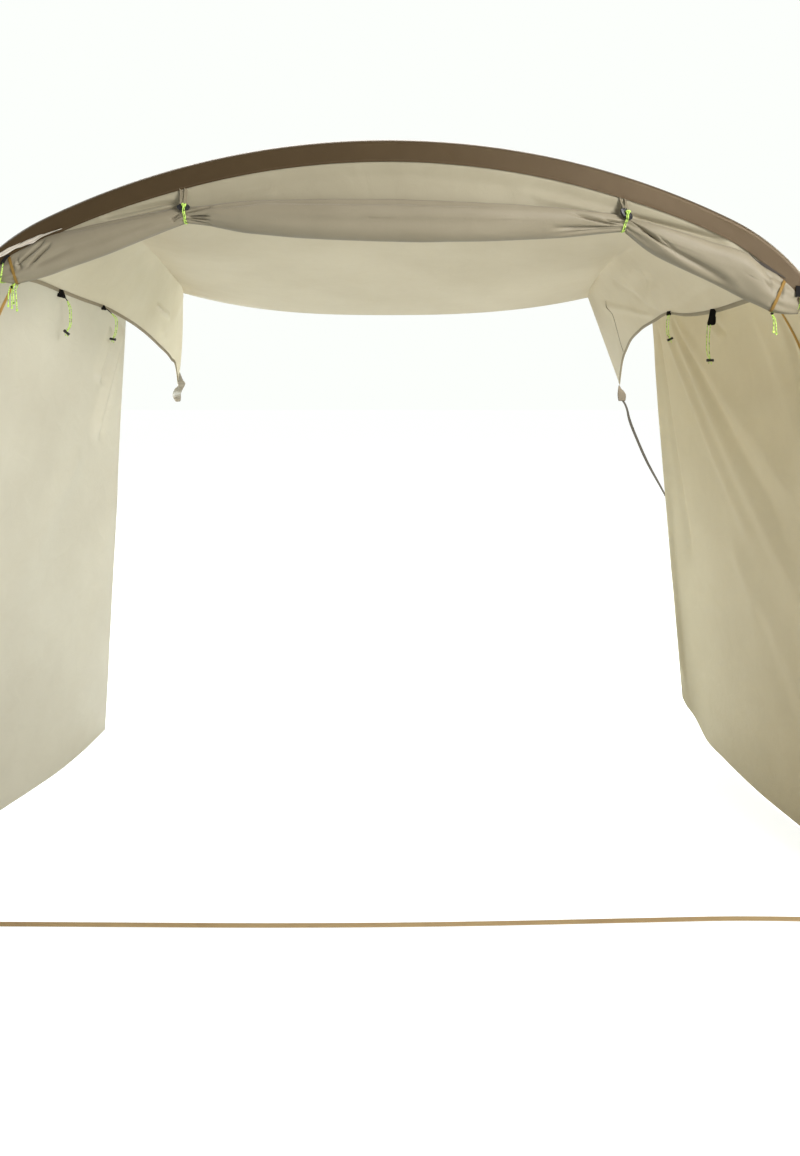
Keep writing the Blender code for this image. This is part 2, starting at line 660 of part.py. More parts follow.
def tip_loop_path(side):
    tip = eave_point(side, REAR_Y)
    x, y = tip[0] - side * 0.012, REAR_Y - TIP_LOOP_RADIUS - 0.003
    front_top = eave_point(side, y - TIP_LOOP_RADIUS + STRAP / 2)[2] - TIP_LOOP_SEAT
    rear_top = eave_point(side, y + TIP_LOOP_RADIUS + STRAP / 2)[2] - TIP_LOOP_SEAT
    low = rear_top - TIP_LOOP_DROP
    path = [(x, y - TIP_LOOP_RADIUS, front_top), (x, y - TIP_LOOP_RADIUS, (front_top + low) / 2)]
    for k in range(7):
        angle = math.pi + math.pi * k / 6
        path.append((x, y + TIP_LOOP_RADIUS * math.cos(angle), low + TIP_LOOP_RADIUS * math.sin(angle)))
    path += [(x, y + TIP_LOOP_RADIUS, (rear_top + low) / 2), (x, y + TIP_LOOP_RADIUS, rear_top)]
    return path


STRAP_WIDTH = 0.020
PEG_X, PEG_Y = 1.985, 2.345
PEG_RADIUS = 0.004
PEG_HEIGHT = 0.065


def strap_route():
    """Threaded through the right tip loop on its bottom edge, then down to the peg with a slight sag."""
    x, y, low = tip_loop_path(1)[5]
    seat = low + STRAP / 2 + GAP + STRAP_WIDTH / 2
    return [(x - 0.014, y, seat), (x + 0.012, y, seat), (x + 0.030, y, seat - 0.001),
            (x + 0.043, y, seat - 0.014), (1.3065, 2.342, 1.402),
            (1.320, 2.342, 1.338), (1.366, 2.342, 1.221), (1.415, 2.342, 1.110), (1.507, 2.343, 0.940),
            (1.700, 2.344, 0.570), (1.880, 2.345, 0.212), (1.9713, PEG_Y, 0.034)]


def build_rear_stay(loop_webbing, strap_webbing, metal):
    for name, side in (("left", -1), ("right", 1)):
        ribbon(f"{name}_tip_loop", tip_loop_path(side), TIP_LOOP_WIDTH, STRAP, (1, 0, 0), loop_webbing)
    ribbon("rear_strap", smooth_path(strap_route(), 40), STRAP_WIDTH, STRAP, (0.9, 0, 0.4), strap_webbing)
    peg_rings = []
    for z, radius in ((0.0, PEG_RADIUS), (PEG_HEIGHT, PEG_RADIUS), (PEG_HEIGHT + 0.0005, 0.009),
                      (PEG_HEIGHT + 0.005, 0.009)):
        ring = []
        for k in range(12):
            angle = math.tau * k / 12
            ring.append((PEG_X + radius * math.cos(angle), PEG_Y + radius * math.sin(angle), z))
        peg_rings.append(ring)
    loft("rear_peg", peg_rings, metal)


# Strap on the ground between the two feet

GROUND_STRAP_LINE = [(-1.00, 0.003), (-0.40, -0.002), (0.05, 0.001), (0.35, 0.008), (0.70, 0.020),
                     (1.00, 0.028), (1.25, 0.020)]


def build_ground_strap(webbing):
    foot_x = arch_point(run_at_height(FOOT_HEIGHT, SLEEVE_ROUND), SLEEVE_ROUND)[0]
    end = foot_x - FOOT_PAD_RADIUS - GAP
    points = [(-end, 0.0)] + GROUND_STRAP_LINE + [(end, 0.0)]
    path = smooth_path([(x, y, STRAP / 2) for x, y in points], 40)
    ribbon("ground_strap", path, GROUND_STRAP_WIDTH, STRAP, (0, 1, 0), webbing)


def main():
    for piece in list(bpy.data.objects):
        bpy.data.objects.remove(piece)

    sleeve_brown = finish("sleeve_brown_polyester", (105, 88, 65), 0.75)
    canopy = finish("canopy_beige_polyester", (196, 184, 152), 0.80)
    door = finish("door_taupe_polyester", (163, 152, 128), 0.80)
    taupe = finish("taupe_webbing", (138, 126, 100), 0.85)
    orange = finish("orange_zip_tape", (170, 125, 52), 0.70)
    black = finish("black_plastic", (22, 20, 22), 0.45)
    neon = finish("neon_green_cord", (176, 226, 92), 0.70)
    brown_webbing = finish("brown_strap_webbing", (92, 80, 64), 0.85)
    steel = finish("galvanised_steel", (150, 150, 148), 0.40, 1.0)
    coated = finish("coated_pole", (70, 70, 72), 0.45, 0.6)

    build_pole("arch_pole_crown", crown_runs(), coated)
    build_sleeve("sleeve_crown", crown_runs(), sleeve_brown)
    for name, side in (("left", -1), ("right", 1)):
        build_pole(f"arch_pole_{name}", leg_runs(side, POLE_END_Z), coated)
        build_sleeve(f"sleeve_{name}", leg_runs(side, SLEEVE_END_Z), sleeve_brown)
        build_foot(f"{name}_foot", side, black)

    build_roof(canopy, taupe)
    build_walls(canopy, orange)
    build_apron(canopy)
    build_roll("door_roll_left", LEFT_ROLL, 14, door)
    build_roll("door_roll_centre", CENTRE_ROLL, 22, door)
    build_roll("door_roll_right", RIGHT_ROLL, 14, door)
    build_roll_band("left_roll_band", LEFT_ROLL, -1.053, -1.031, orange)
    build_roll_band("right_roll_band", RIGHT_ROLL, 1.104, 1.067, orange)
    build_upper_ties(taupe, black, neon)
    build_shoulder_ties(black, neon)
    build_eave_ties(black, neon)
    build_rear_stay(taupe, brown_webbing, steel)
    build_ground_strap(orange)


main()
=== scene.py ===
# Arched fabric shelter: the looks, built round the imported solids. Metres, +Z up; the arch stands in
# the plane y = 0, its open front faces -Y and the roof runs back along +Y to two low rear tips.

import json
import math

import bpy
import numpy as np
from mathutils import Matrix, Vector, noise

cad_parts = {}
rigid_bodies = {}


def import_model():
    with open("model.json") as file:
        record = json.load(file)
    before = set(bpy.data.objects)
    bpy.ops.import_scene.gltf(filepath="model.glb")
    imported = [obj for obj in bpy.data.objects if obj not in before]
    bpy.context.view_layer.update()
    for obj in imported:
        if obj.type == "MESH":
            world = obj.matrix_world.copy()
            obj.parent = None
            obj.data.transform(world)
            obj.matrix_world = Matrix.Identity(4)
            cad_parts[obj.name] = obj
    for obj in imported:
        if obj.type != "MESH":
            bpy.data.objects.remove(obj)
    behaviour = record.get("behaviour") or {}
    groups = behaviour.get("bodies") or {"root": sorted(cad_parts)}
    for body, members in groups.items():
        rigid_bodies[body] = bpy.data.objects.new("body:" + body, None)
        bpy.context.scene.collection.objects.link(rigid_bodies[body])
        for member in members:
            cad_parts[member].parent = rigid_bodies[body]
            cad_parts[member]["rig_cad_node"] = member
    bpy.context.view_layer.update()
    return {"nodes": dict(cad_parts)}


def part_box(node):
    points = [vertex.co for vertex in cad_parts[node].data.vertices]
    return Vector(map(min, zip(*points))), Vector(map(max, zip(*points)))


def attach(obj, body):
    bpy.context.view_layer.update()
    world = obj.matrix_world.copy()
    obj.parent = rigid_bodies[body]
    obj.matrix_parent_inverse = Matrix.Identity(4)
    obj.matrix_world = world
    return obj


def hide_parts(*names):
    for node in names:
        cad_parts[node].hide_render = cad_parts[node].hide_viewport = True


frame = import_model()
cad = frame["nodes"]


# Camera: level, 1.5 m up and 2.3 m before the arch. Its picture is shifted down instead of the
# camera being tilted, so the legs of the tent keep their true lean, as in the photograph.

PICTURE_HEIGHT = 1156
EYE_LINE_PIXEL = 390
FOCAL_PIXELS = 835
EYE = (0.036, -2.339, 1.5)
FILM = 36

bpy.ops.object.camera_add(location=EYE, rotation=(math.pi / 2, 0, 0))
camera = bpy.context.object
camera.data.sensor_width = FILM
camera.data.lens = FILM * FOCAL_PIXELS / PICTURE_HEIGHT
camera.data.shift_y = (EYE_LINE_PIXEL - PICTURE_HEIGHT / 2) / PICTURE_HEIGHT
bpy.context.scene.camera = camera


# Studio: a pale floor under an even pale sky. A soft lamp before the opening lights the inside. A
# wide lamp above and one on each side shine through the cloth, and a small one by the left wing.

def soft_lamp(name, place, aim, size, watts, colour=(1.0, 1.0, 1.0)):
    bpy.ops.object.light_add(type="AREA", location=place)
    lamp = bpy.context.object
    lamp.name = name
    lamp.data.shape = "DISK"
    lamp.data.size = size
    lamp.data.energy = watts
    lamp.data.color = colour
    lamp.rotation_euler = (Vector(aim) - Vector(place)).to_track_quat("-Z", "Y").to_euler()
    lamp.visible_camera = False


soft_lamp("front_lamp", (2.8, -3.4, 2.6), (-0.5, 0.3, 1.5), 1.8, 280)
soft_lamp("top_lamp", (-0.5, 2.4, 6.5), (-0.1, 1.3, 1.9), 6.0, 690)
soft_lamp("left_lamp", (-4.8, 1.3, 2.6), (-1.2, 1.3, 1.5), 2.6, 420, (0.80, 0.93, 1.0))
soft_lamp("right_lamp", (4.8, 1.3, 2.8), (1.2, 1.3, 1.6), 2.6, 275, (1.0, 0.94, 0.80))
soft_lamp("wing_lamp", (-1.80, 2.34, 1.92), (-1.20, 2.22, 1.80), 0.35, 29, (0.68, 0.78, 1.0))

sky = bpy.data.worlds.new("pale_sky")
sky.use_nodes = True
sky_nodes = sky.node_tree.nodes
for name, power in (("Background", 0.45), ("seen", 1.0)):
    light = sky_nodes.get(name) or sky_nodes.new("ShaderNodeBackground")
    light.name = name
    light.inputs["Color"].default_value = (0.975, 1.0, 0.97, 1.0)
    light.inputs["Strength"].default_value = power
choice = sky_nodes.new("ShaderNodeMixShader")
ray = sky_nodes.new("ShaderNodeLightPath")
sky.node_tree.links.new(ray.outputs["Is Camera Ray"], choice.inputs[0])
sky.node_tree.links.new(sky_nodes["Background"].outputs[0], choice.inputs[1])
sky.node_tree.links.new(sky_nodes["seen"].outputs[0], choice.inputs[2])
sky.node_tree.links.new(choice.outputs[0], sky_nodes["World Output"].inputs["Surface"])
bpy.context.scene.world = sky
bpy.context.scene.view_settings.view_transform = "Standard"

bpy.ops.object.select_all(action="DESELECT")
bpy.ops.mesh.primitive_plane_add(size=120, location=(0, 0, -0.002))
floor = bpy.context.object
floor.name = "studio_floor"
floor_paint = bpy.data.materials.new("pale_floor_paint")
floor_paint.use_nodes = True
floor_nodes = floor_paint.node_tree.nodes
floor_shader = floor_nodes["Principled BSDF"]
floor_shader.inputs["Base Color"].default_value = (0.50, 0.51, 0.50, 1.0)
floor_shader.inputs["Roughness"].default_value = 0.9
floor_shader.inputs["Emission Color"].default_value = (0.76, 0.77, 0.76, 1.0)
seen = floor_nodes.new("ShaderNodeLightPath")
floor_paint.node_tree.links.new(seen.outputs["Is Camera Ray"], floor_shader.inputs["Emission Strength"])
floor.data.materials.append(floor_paint)


# Pole: 14 mm steel tube in three sections, coated dark grey and hidden in the sleeve but for its
# last few centimetres. Two turned feet of black plastic carry it, each on a broad pad.

class Wire:
    """One output of a material's nodes. Arithmetic on it adds the Math nodes."""

    def __init__(self, tree, socket=None):
        self.tree = tree
        self.socket = socket

    def node(self, kind, settings, inputs, output=0):
        """Adds any node: its settings first, then its inputs' values or wires."""
        made = self.tree.nodes.new(kind)
        for name, value in settings.items():
            setattr(made, name, value)
        for name, value in inputs.items():
            if isinstance(value, Wire):
                self.tree.links.new(value.socket, made.inputs[name])
            else:
                made.inputs[name].default_value = value
        return Wire(self.tree, made.outputs[output])

    def math(self, operation, *values):
        return self.node("ShaderNodeMath", {"operation": operation}, dict(enumerate(values)))

    def __add__(self, other):
        return self.math("ADD", self, other)

    __radd__ = __add__

    def __sub__(self, other):
        return self.math("SUBTRACT", self, other)

    def __rsub__(self, other):
        return self.math("SUBTRACT", other, self)

    def __mul__(self, other):
        return self.math("MULTIPLY", self, other)

    __rmul__ = __mul__

    def into(self, socket):
        self.tree.links.new(self.socket, socket)


def new_finish(name, roughness, metallic=0.0):
    material = bpy.data.materials.new(name)
    material.use_nodes = True
    shader = material.node_tree.nodes["Principled BSDF"]
    shader.inputs["Roughness"].default_value = roughness
    shader.inputs["Metallic"].default_value = metallic
    return material, shader, Wire(material.node_tree)


def tone(red, green, blue):
    """A screen colour, 0 to 255, as a shader colour."""
    channels = [value / 255 for value in (red, green, blue)]
    linear = [c / 12.92 if c <= 0.04045 else ((c + 0.055) / 1.055) ** 2.4 for c in channels]
    return (*linear, 1.0)


def speckled(name, base, worn, grain, roughness, metallic=0.0):
    """Moulded plastic or coated metal: a fine grain with paler rubbed places."""
    material, shader, wire = new_finish(name, roughness, metallic)
    place = wire.node("ShaderNodeTexCoord", {}, {}, "Object")
    fine = wire.node("ShaderNodeTexNoise", {}, {"Vector": place, "Scale": grain, "Detail": 4.0})
    rubbed = wire.node("ShaderNodeTexNoise", {}, {"Vector": place, "Scale": grain / 9, "Detail": 6.0})
    share = wire.node("ShaderNodeMapRange", {}, {"Value": rubbed, "From Min": 0.5, "From Max": 0.75})
    colour = wire.node("ShaderNodeMix", {"data_type": "RGBA"}, {0: share * 0.6, 6: base, 7: worn}, 2)
    colour.into(shader.inputs["Base Color"])
    (share * 0.15 + roughness).into(shader.inputs["Roughness"])
    bump = wire.node("ShaderNodeBump", {}, {"Height": fine, "Distance": 0.0002, "Strength": 0.5})
    bump.into(shader.inputs["Normal"])
    return material


def dress(piece, material):
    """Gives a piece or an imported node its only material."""
    piece.data.materials.clear()
    piece.data.materials.append(material)
    "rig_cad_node" not in piece


pole_coat = speckled("grey_pole_coating", tone(70, 70, 72), tone(112, 112, 112), 900, 0.38, 0.6)
black_plastic = speckled("black_moulded_plastic", tone(24, 22, 25), tone(52, 50, 52), 1400, 0.42)
for section in ("arch_pole_crown", "arch_pole_left", "arch_pole_right"):
    dress(cad[section], pole_coat)
for foot in ("left_foot", "right_foot"):
    dress(cad[foot], black_plastic)


# Pole sleeve: one long strip of dark brown polyester folded round the pole and sewn shut below it,
# so that a flat double edge, two seams wide, stands down from the pole all round the arch.

CROWN_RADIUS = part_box("sleeve_crown")[1].z
CROWN_ANGLE = math.asin(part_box("sleeve_crown")[1].x / CROWN_RADIUS)
SHOULDER_RADIUS = 0.60
LEG_ANGLE = math.radians(82)
CROWN_RUN = CROWN_RADIUS * CROWN_ANGLE
ARC_RUN = CROWN_RUN + SHOULDER_RADIUS * (LEG_ANGLE - CROWN_ANGLE)
SLEEVE_ROUND = 0.010
SLEEVE_SEAM = 0.0028
SLEEVE_CROWN_HEIGHT = 0.061
SLEEVE_LEG_HEIGHT = 0.055
SLEEVE_END_Z = 0.075
WRAP = math.radians(112)


def ease(t):
    t = np.clip(t, 0, 1)
    return t * t * (3 - 2 * t)


def arch_point(run, inset):
    """x and z at a run from the crown along the arch's outer line, + to the right."""
    side, run = np.where(run < 0, -1.0, 1.0), np.abs(run)
    on_crown = run <= CROWN_RUN
    past = np.minimum(CROWN_ANGLE + (run - CROWN_RUN) / SHOULDER_RADIUS, LEG_ANGLE)
    angle = np.where(on_crown, run / CROWN_RADIUS, past)
    radius = np.where(on_crown, CROWN_RADIUS, SHOULDER_RADIUS)
    centre = np.where(on_crown, 0.0, CROWN_RADIUS - SHOULDER_RADIUS)
    straight = np.maximum(0, run - ARC_RUN)
    x = centre * math.sin(CROWN_ANGLE) + (radius - inset) * np.sin(angle) + straight * math.cos(LEG_ANGLE)
    z = centre * math.cos(CROWN_ANGLE) + (radius - inset) * np.cos(angle) - straight * math.sin(LEG_ANGLE)
    return side * x, z


arch_runs = np.linspace(0, 3.3, 4000)
arch_xs, arch_zs = arch_point(arch_runs, SLEEVE_ROUND)


def run_at_height(z):
    return np.interp(-np.asarray(z, float), -arch_zs, arch_runs)


def sleeve_height(run):
    share = ease((np.abs(run) - 0.6) / 0.4)
    return SLEEVE_CROWN_HEIGHT + share * (SLEEVE_LEG_HEIGHT - SLEEVE_CROWN_HEIGHT)


def ripple(points, scale, seed):
    """Smooth noise from -1 to 1 at each point; scale is in waves to the metre."""
    return np.array([noise.noise(Vector(point) * scale + Vector((seed, 0, 0))) for point in points])


def cloth_sheet(name, columns, rows, size, place):
    """A grid set by place(a, b), both 0 to 1; its UV map is the flat cloth in metres."""
    bpy.ops.object.select_all(action="DESELECT")
    bpy.ops.mesh.primitive_grid_add(x_subdivisions=columns, y_subdivisions=rows, size=2)
    cloth = bpy.context.object
    cloth.name = name
    cloth.data.name = name
    flat = np.empty(len(cloth.data.vertices) * 3)
    cloth.data.vertices.foreach_get("co", flat)
    flat = flat.reshape(-1, 3)
    points = np.asarray(place((flat[:, 0] + 1) / 2, (flat[:, 1] + 1) / 2))
    cloth.data.vertices.foreach_set("co", points.ravel())
    plan = cloth.data.uv_layers[0].data
    for corner in plan:
        corner.uv = (corner.uv[0] * size[0], corner.uv[1] * size[1])
    cloth.data.update()
    return cloth


def apply_modifier(piece, kind, **settings):
    bpy.ops.object.select_all(action="DESELECT")
    piece.select_set(True)
    bpy.context.view_layer.objects.active = piece
    modifier = piece.modifiers.new(kind.title(), kind)
    for name, value in settings.items():
        setattr(modifier, name, value)
    bpy.ops.object.modifier_apply(modifier=modifier.name)


def thicken(cloth, thickness, flip=False):
    if flip:
        cloth.data.flip_normals()
    apply_modifier(cloth, "SOLIDIFY", thickness=thickness, offset=0.0)
    cloth.data.shade_smooth()
    cloth.data.set_sharp_from_angle(angle=math.radians(50))


def dashed(wire, across, along, place, stitch=0.0032, thick=0.0007):
    """A row of stitches at a place across the cloth, as a mask."""
    near = 1 - wire.math("MINIMUM", wire.math("ABSOLUTE", across - place) * (1 / thick), 1.0)
    gaps = wire.math("GREATER_THAN", wire.math("FRACT", along * (1 / stitch)), 0.28)
    return near * gaps


def woven(name, colour, shade, roughness, glow=0.0, pitch=0.0009, crinkle=1.0, stitches=(), thread=None):
    """Woven cloth on a UV map in metres: threads, uneven dye, crinkles, rows of stitches and,
    where glow is above 0, that share of the light coming through it."""
    material, shader, wire = new_finish(name, roughness)
    plan = wire.node("ShaderNodeUVMap", {}, {})
    split = wire.node("ShaderNodeSeparateXYZ", {}, {"Vector": plan}, "X")
    across, along = split, Wire(wire.tree, split.socket.node.outputs["Y"])
    turn = math.tau / pitch
    weave = wire.math("SINE", across * turn) * wire.math("SINE", along * turn)
    place = wire.node("ShaderNodeTexCoord", {}, {}, "Object")
    broad = wire.node("ShaderNodeTexNoise", {}, {"Vector": place, "Scale": 2.3, "Detail": 3.0})
    creases = wire.node("ShaderNodeTexNoise", {}, {"Vector": place, "Scale": 14.0, "Detail": 5.0,
                                                   "Roughness": 0.55, "Distortion": 0.8})
    dye = wire.node("ShaderNodeMapRange", {}, {"Value": broad + creases * 0.35, "From Min": 0.45,
                                               "From Max": 0.95})
    tint = wire.node("ShaderNodeMix", {"data_type": "RGBA"}, {0: dye, 6: colour, 7: shade}, 2)
    height = weave * 0.00004 + creases * (0.0022 * crinkle)
    for (direction, row) in stitches:
        first, second = (across, along) if direction == "across" else (along, across)
        sewn = dashed(wire, first, second, row)
        tint = wire.node("ShaderNodeMix", {"data_type": "RGBA"}, {0: sewn * 0.7, 6: tint, 7: thread}, 2)
        height = height + sewn * 0.0004
    tint.into(shader.inputs["Base Color"])
    (weave * 0.03 + roughness).into(shader.inputs["Roughness"])
    bump = wire.node("ShaderNodeBump", {}, {"Height": height, "Distance": 1.0, "Strength": 1.0})
    bump.into(shader.inputs["Normal"])
    shader.inputs["Sheen Weight"].default_value = 0.12
    if glow > 0:
        through = wire.node("ShaderNodeBsdfTranslucent", {}, {"Color": tint, "Normal": bump})
        surface = Wire(wire.tree, shader.outputs["BSDF"])
        both = wire.node("ShaderNodeMixShader", {}, {0: glow, 1: surface, 2: through})
        both.into(wire.tree.nodes["Material Output"].inputs["Surface"])
    return material


def wear(piece, material, slot, *replaced):
    """A finished new piece: its material, the root body, and the nodes it stands for; slot is not used."""
    dress(piece, material)
    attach(piece, "root")
    if replaced:
        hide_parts(*replaced)


sleeve_end = float(run_at_height(SLEEVE_END_Z))
wrap_angles = np.linspace(-WRAP, WRAP, 15)
fold_insets = np.concatenate([[1.0, 0.62, 0.30], np.zeros(15), [0.30, 0.62, 1.0]])
fold_run = np.concatenate([[0, 0.018, 0.034], 0.048 + (wrap_angles + WRAP) * SLEEVE_ROUND,
                           [0.101, 0.117, 0.135]])
SLEEVE_CUT = (0.135, 2 * sleeve_end)


def sleeve_place(a, b):
    run = (2 * b - 1) * sleeve_end
    height = sleeve_height(run)
    where = a * fold_run[-1]
    angle = np.interp(where, fold_run[3:18], wrap_angles)
    share = np.interp(where, fold_run, fold_insets)
    round_inset = SLEEVE_ROUND * (1 - np.cos(angle))
    round_y = SLEEVE_ROUND * np.sin(angle)
    inset = round_inset + share * (height - round_inset)
    seam_y = np.sign(round_y) * SLEEVE_SEAM
    y = round_y + share * (seam_y - round_y)
    pucker = ripple(np.column_stack([run * 1.0, inset * 0.6, y * 0]), 26, 3.0) * 0.0011
    sag = ripple(np.column_stack([run * 0.35, inset, y * 0]), 9, 8.0) * 0.0016
    y = y + np.where(share > 0, share * (1 - 0.6 * share) * (pucker + sag), 0)
    x, z = arch_point(run, inset)
    return np.column_stack([x, y, z])


sleeve = cloth_sheet("pole_sleeve", 34, 560, SLEEVE_CUT, sleeve_place)
thicken(sleeve, 0.0011)
sleeve_cloth = woven("brown_sleeve_cloth", tone(58, 43, 20), tone(49, 35, 15), 0.42,
                     stitches=[("across", 0.005), ("across", 0.130)], thread=tone(88, 72, 52), crinkle=0.5)
sleeve_shader = sleeve_cloth.node_tree.nodes["Principled BSDF"]
sleeve_shader.inputs["Specular Tint"].default_value = (1.0, 0.80, 0.58, 1.0)
wear(sleeve, sleeve_cloth, "sleeve", "sleeve_crown", "sleeve_left", "sleeve_right")


# Roof: one large sheet of beige polyester sewn to the back of the sleeve. It is pulled back to the
# rear corners, where it turns down into two wings that end in the low rear tips.

FRONT_Y = 0.0103
REAR_Y = 2.35
DEPTH = REAR_Y - FRONT_Y
EAVE_FRONT_Z = 1.80
CREASE = 0.69
CREASE_FRONT_X = 0.84
REAR_LEFT_CORNER = (-1.183, 2.045)
REAR_RIGHT_CORNER = (1.092, 2.020)
REAR_MID_Z = 1.921
REAR_SAG_POWER = 2.6
LEFT_EAVE = [(-1.190, 0.45, 1.860), (-1.190, 0.69, 1.851), (-1.184, 0.87, 1.842), (-1.175, 1.08, 1.833),
             (-1.158, 1.31, 1.802), (-1.172, 1.57, 1.774), (-1.190, 1.89, 1.723), (-1.204, 2.18, 1.662),
             (-1.210, 2.30, 1.615), (-1.212, REAR_Y, 1.530)]
RIGHT_EAVE = [(1.195, 0.44, 1.791), (1.190, 0.74, 1.784), (1.179, 1.00, 1.795), (1.166, 1.18, 1.818),
              (1.170, 1.37, 1.804), (1.200, 1.71, 1.783), (1.240, 2.07, 1.722), (1.262, 2.27, 1.624),
              (1.271, REAR_Y, 1.528)]


def smooth_at(stations, values, where):
    """Values at places on the smooth curve that passes the given ones at their rising stations."""
    stations, values = np.asarray(stations, float), np.asarray(values, float)
    slopes = np.gradient(values, stations, axis=0)
    left = np.clip(np.searchsorted(stations, where) - 1, 0, len(stations) - 2)
    step = (stations[left + 1] - stations[left])[..., None]
    t = (where - stations[left])[..., None] / step
    return ((2 * t**3 - 3 * t**2 + 1) * values[left] + (t**3 - 2 * t**2 + t) * step * slopes[left]
            + (3 * t**2 - 2 * t**3) * values[left + 1] + (t**3 - t**2) * step * slopes[left + 1])


def eave_at(side, y):
    """Points of the roof's lower edge at depths behind the arch; side is -1 left, 1 right."""
    front_x, front_z = arch_point(side * run_at_height(EAVE_FRONT_Z), SLEEVE_ROUND)
    points = [(float(front_x), FRONT_Y, float(front_z))] + (LEFT_EAVE if side < 0 else RIGHT_EAVE)
    return smooth_at([point[1] for point in points], points, np.asarray(y, float))


def roof_front(u):
    crease = np.interp(CREASE_FRONT_X, arch_xs, arch_runs)
    eave = float(run_at_height(EAVE_FRONT_Z))
    run = crease * np.minimum(np.abs(u), CREASE) / CREASE
    run = run + (eave - crease) * np.maximum(0, np.abs(u) - CREASE) / (1 - CREASE)
    return np.column_stack(arch_point(np.where(u < 0, -run, run), SLEEVE_ROUND))


def roof_rear(u):
    left, right = np.array(REAR_LEFT_CORNER), np.array(REAR_RIGHT_CORNER)
    share = np.clip(u / CREASE, -1, 1)
    x = (left[0] + right[0]) / 2 + share * (right[0] - left[0]) / 2
    corner_z = np.where(u < 0, left[1], right[1])
    z = REAR_MID_Z + (corner_z - REAR_MID_Z) * np.abs(share) ** REAR_SAG_POWER
    wing = (np.maximum(np.abs(u), CREASE) - CREASE) / (1 - CREASE)
    tips = [eave_at(side, np.array([REAR_Y]))[0][[0, 2]] for side in (-1, 1)]
    x_share = np.where(u < 0, wing**3, wing)
    x = x + np.where(u < 0, tips[0][0] - left[0], tips[1][0] - right[0]) * x_share
    z = z + np.where(u < 0, tips[0][1] - left[1], tips[1][1] - right[1]) * wing
    return np.column_stack([x, z])


def roof_place(u, v):
    """Middle of the roof cloth: u from -1 at the left eave to 1 at the right, v from front to rear."""
    y = FRONT_Y + v * DEPTH
    v = v[:, None]
    section = (1 - v) * roof_front(u) + v * roof_rear(u)
    side = np.where(u < 0, -1.0, 1.0)
    straight = (1 - v) * roof_front(side) + v * roof_rear(side)
    eave = np.where(u[:, None] < 0, eave_at(-1, y), eave_at(1, y))[:, [0, 2]]
    pull = np.maximum(0, (np.abs(u) - 0.45) / 0.55) ** 1.5
    section = section + pull[:, None] * (eave - straight)
    return np.column_stack([section[:, 0], y, section[:, 1]])


def fold(p, q, start, end, width, growth=1.0, fade=0.15):
    """Share of a soft fold at places (p, q) of a cloth, in metres: a ridge along a line that gets
    wider towards its end and fades out at both."""
    line = np.array(end, float) - np.array(start, float)
    length = np.hypot(*line)
    along = ((p - start[0]) * line[0] + (q - start[1]) * line[1]) / length**2
    across = ((p - start[0]) * line[1] - (q - start[1]) * line[0]) / length
    wide = width * (1 + growth * np.clip(along, 0, 1))
    return np.exp(-(across / wide) ** 2) * ease(along / fade + 0.3) * ease((1 - along) / fade)


ROOF_HALF = 1.36
ROOF_CUT = (2 * ROOF_HALF, DEPTH)

# Each fold: start and end as (u, share of the depth), half width in metres, height upwards
ROOF_FOLDS = [
    ((-0.53, 0.20), (-0.70, 0.98), 0.060, -0.0110), ((-0.64, 0.22), (-0.80, 0.62), 0.045, 0.0070),
    ((0.55, 0.25), (0.73, 0.97), 0.055, -0.0110), ((0.66, 0.30), (0.70, 0.80), 0.050, 0.0070),
    ((0.80, 0.40), (0.90, 0.80), 0.040, 0.0060), ((-0.70, 0.99), (-0.97, 0.78), 0.030, -0.0100),
    ((-0.86, 0.70), (-0.86, 0.84), 0.010, -0.0140), ((-0.93, 0.83), (-0.955, 0.84), 0.011, -0.0050),
    ((0.79, 0.84), (0.98, 0.955), 0.009, -0.0060), ((0.86, 0.45), (0.93, 0.60), 0.030, -0.0060),
    ((0.99, 0.53), (0.72, 0.70), 0.020, 0.0070), ((0.99, 0.55), (0.78, 0.92), 0.016, -0.0090),
    ((0.985, 0.50), (0.90, 0.20), 0.018, 0.0070), ((0.985, 0.53), (0.78, 0.44), 0.022, -0.0070),
    ((-0.30, 0.30), (-0.60, 0.98), 0.100, 0.0060), ((0.25, 0.30), (0.55, 0.98), 0.100, 0.0060)]


def roof_sheet_place(a, b):
    u = 2 * a - 1
    points = roof_place(u, b)
    side = roof_place(np.clip(u + 0.012, -1, 1), b) - roof_place(np.clip(u - 0.012, -1, 1), b)
    back = roof_place(u, np.clip(b + 0.004, 0, 1)) - roof_place(u, np.clip(b - 0.004, 0, 1))
    normal = np.cross(side, back)
    normal /= np.linalg.norm(normal, axis=1)[:, None]
    lift = 0.0014 * ripple(points * (1.0, 1.0, 0.0), 2.1, 5.0) + 0.0010 * ripple(points, 7.0, 2.0)
    for start, end, width, height in ROOF_FOLDS:
        lift = lift + height * fold(u * ROOF_HALF, b * DEPTH, (start[0] * ROOF_HALF, start[1] * DEPTH),
                                    (end[0] * ROOF_HALF, end[1] * DEPTH), width)
    held = ease(b / 0.03) * ease((1 - b) / 0.02 + 0.3) * ease((1 - np.abs(u)) / 0.06)
    return points + normal * (lift * held)[:, None]


roof = cloth_sheet("roof", 290, 160, ROOF_CUT, roof_sheet_place)
thicken(roof, 0.0012)
roof_cloth = woven("beige_roof_cloth", tone(206, 199, 180), tone(197, 189, 168), 0.55, glow=0.40,
                   stitches=[("along", DEPTH - 0.014)], thread=tone(180, 170, 140))
wear(roof, roof_cloth, "canopy", "roof_centre", "roof_left", "roof_right")
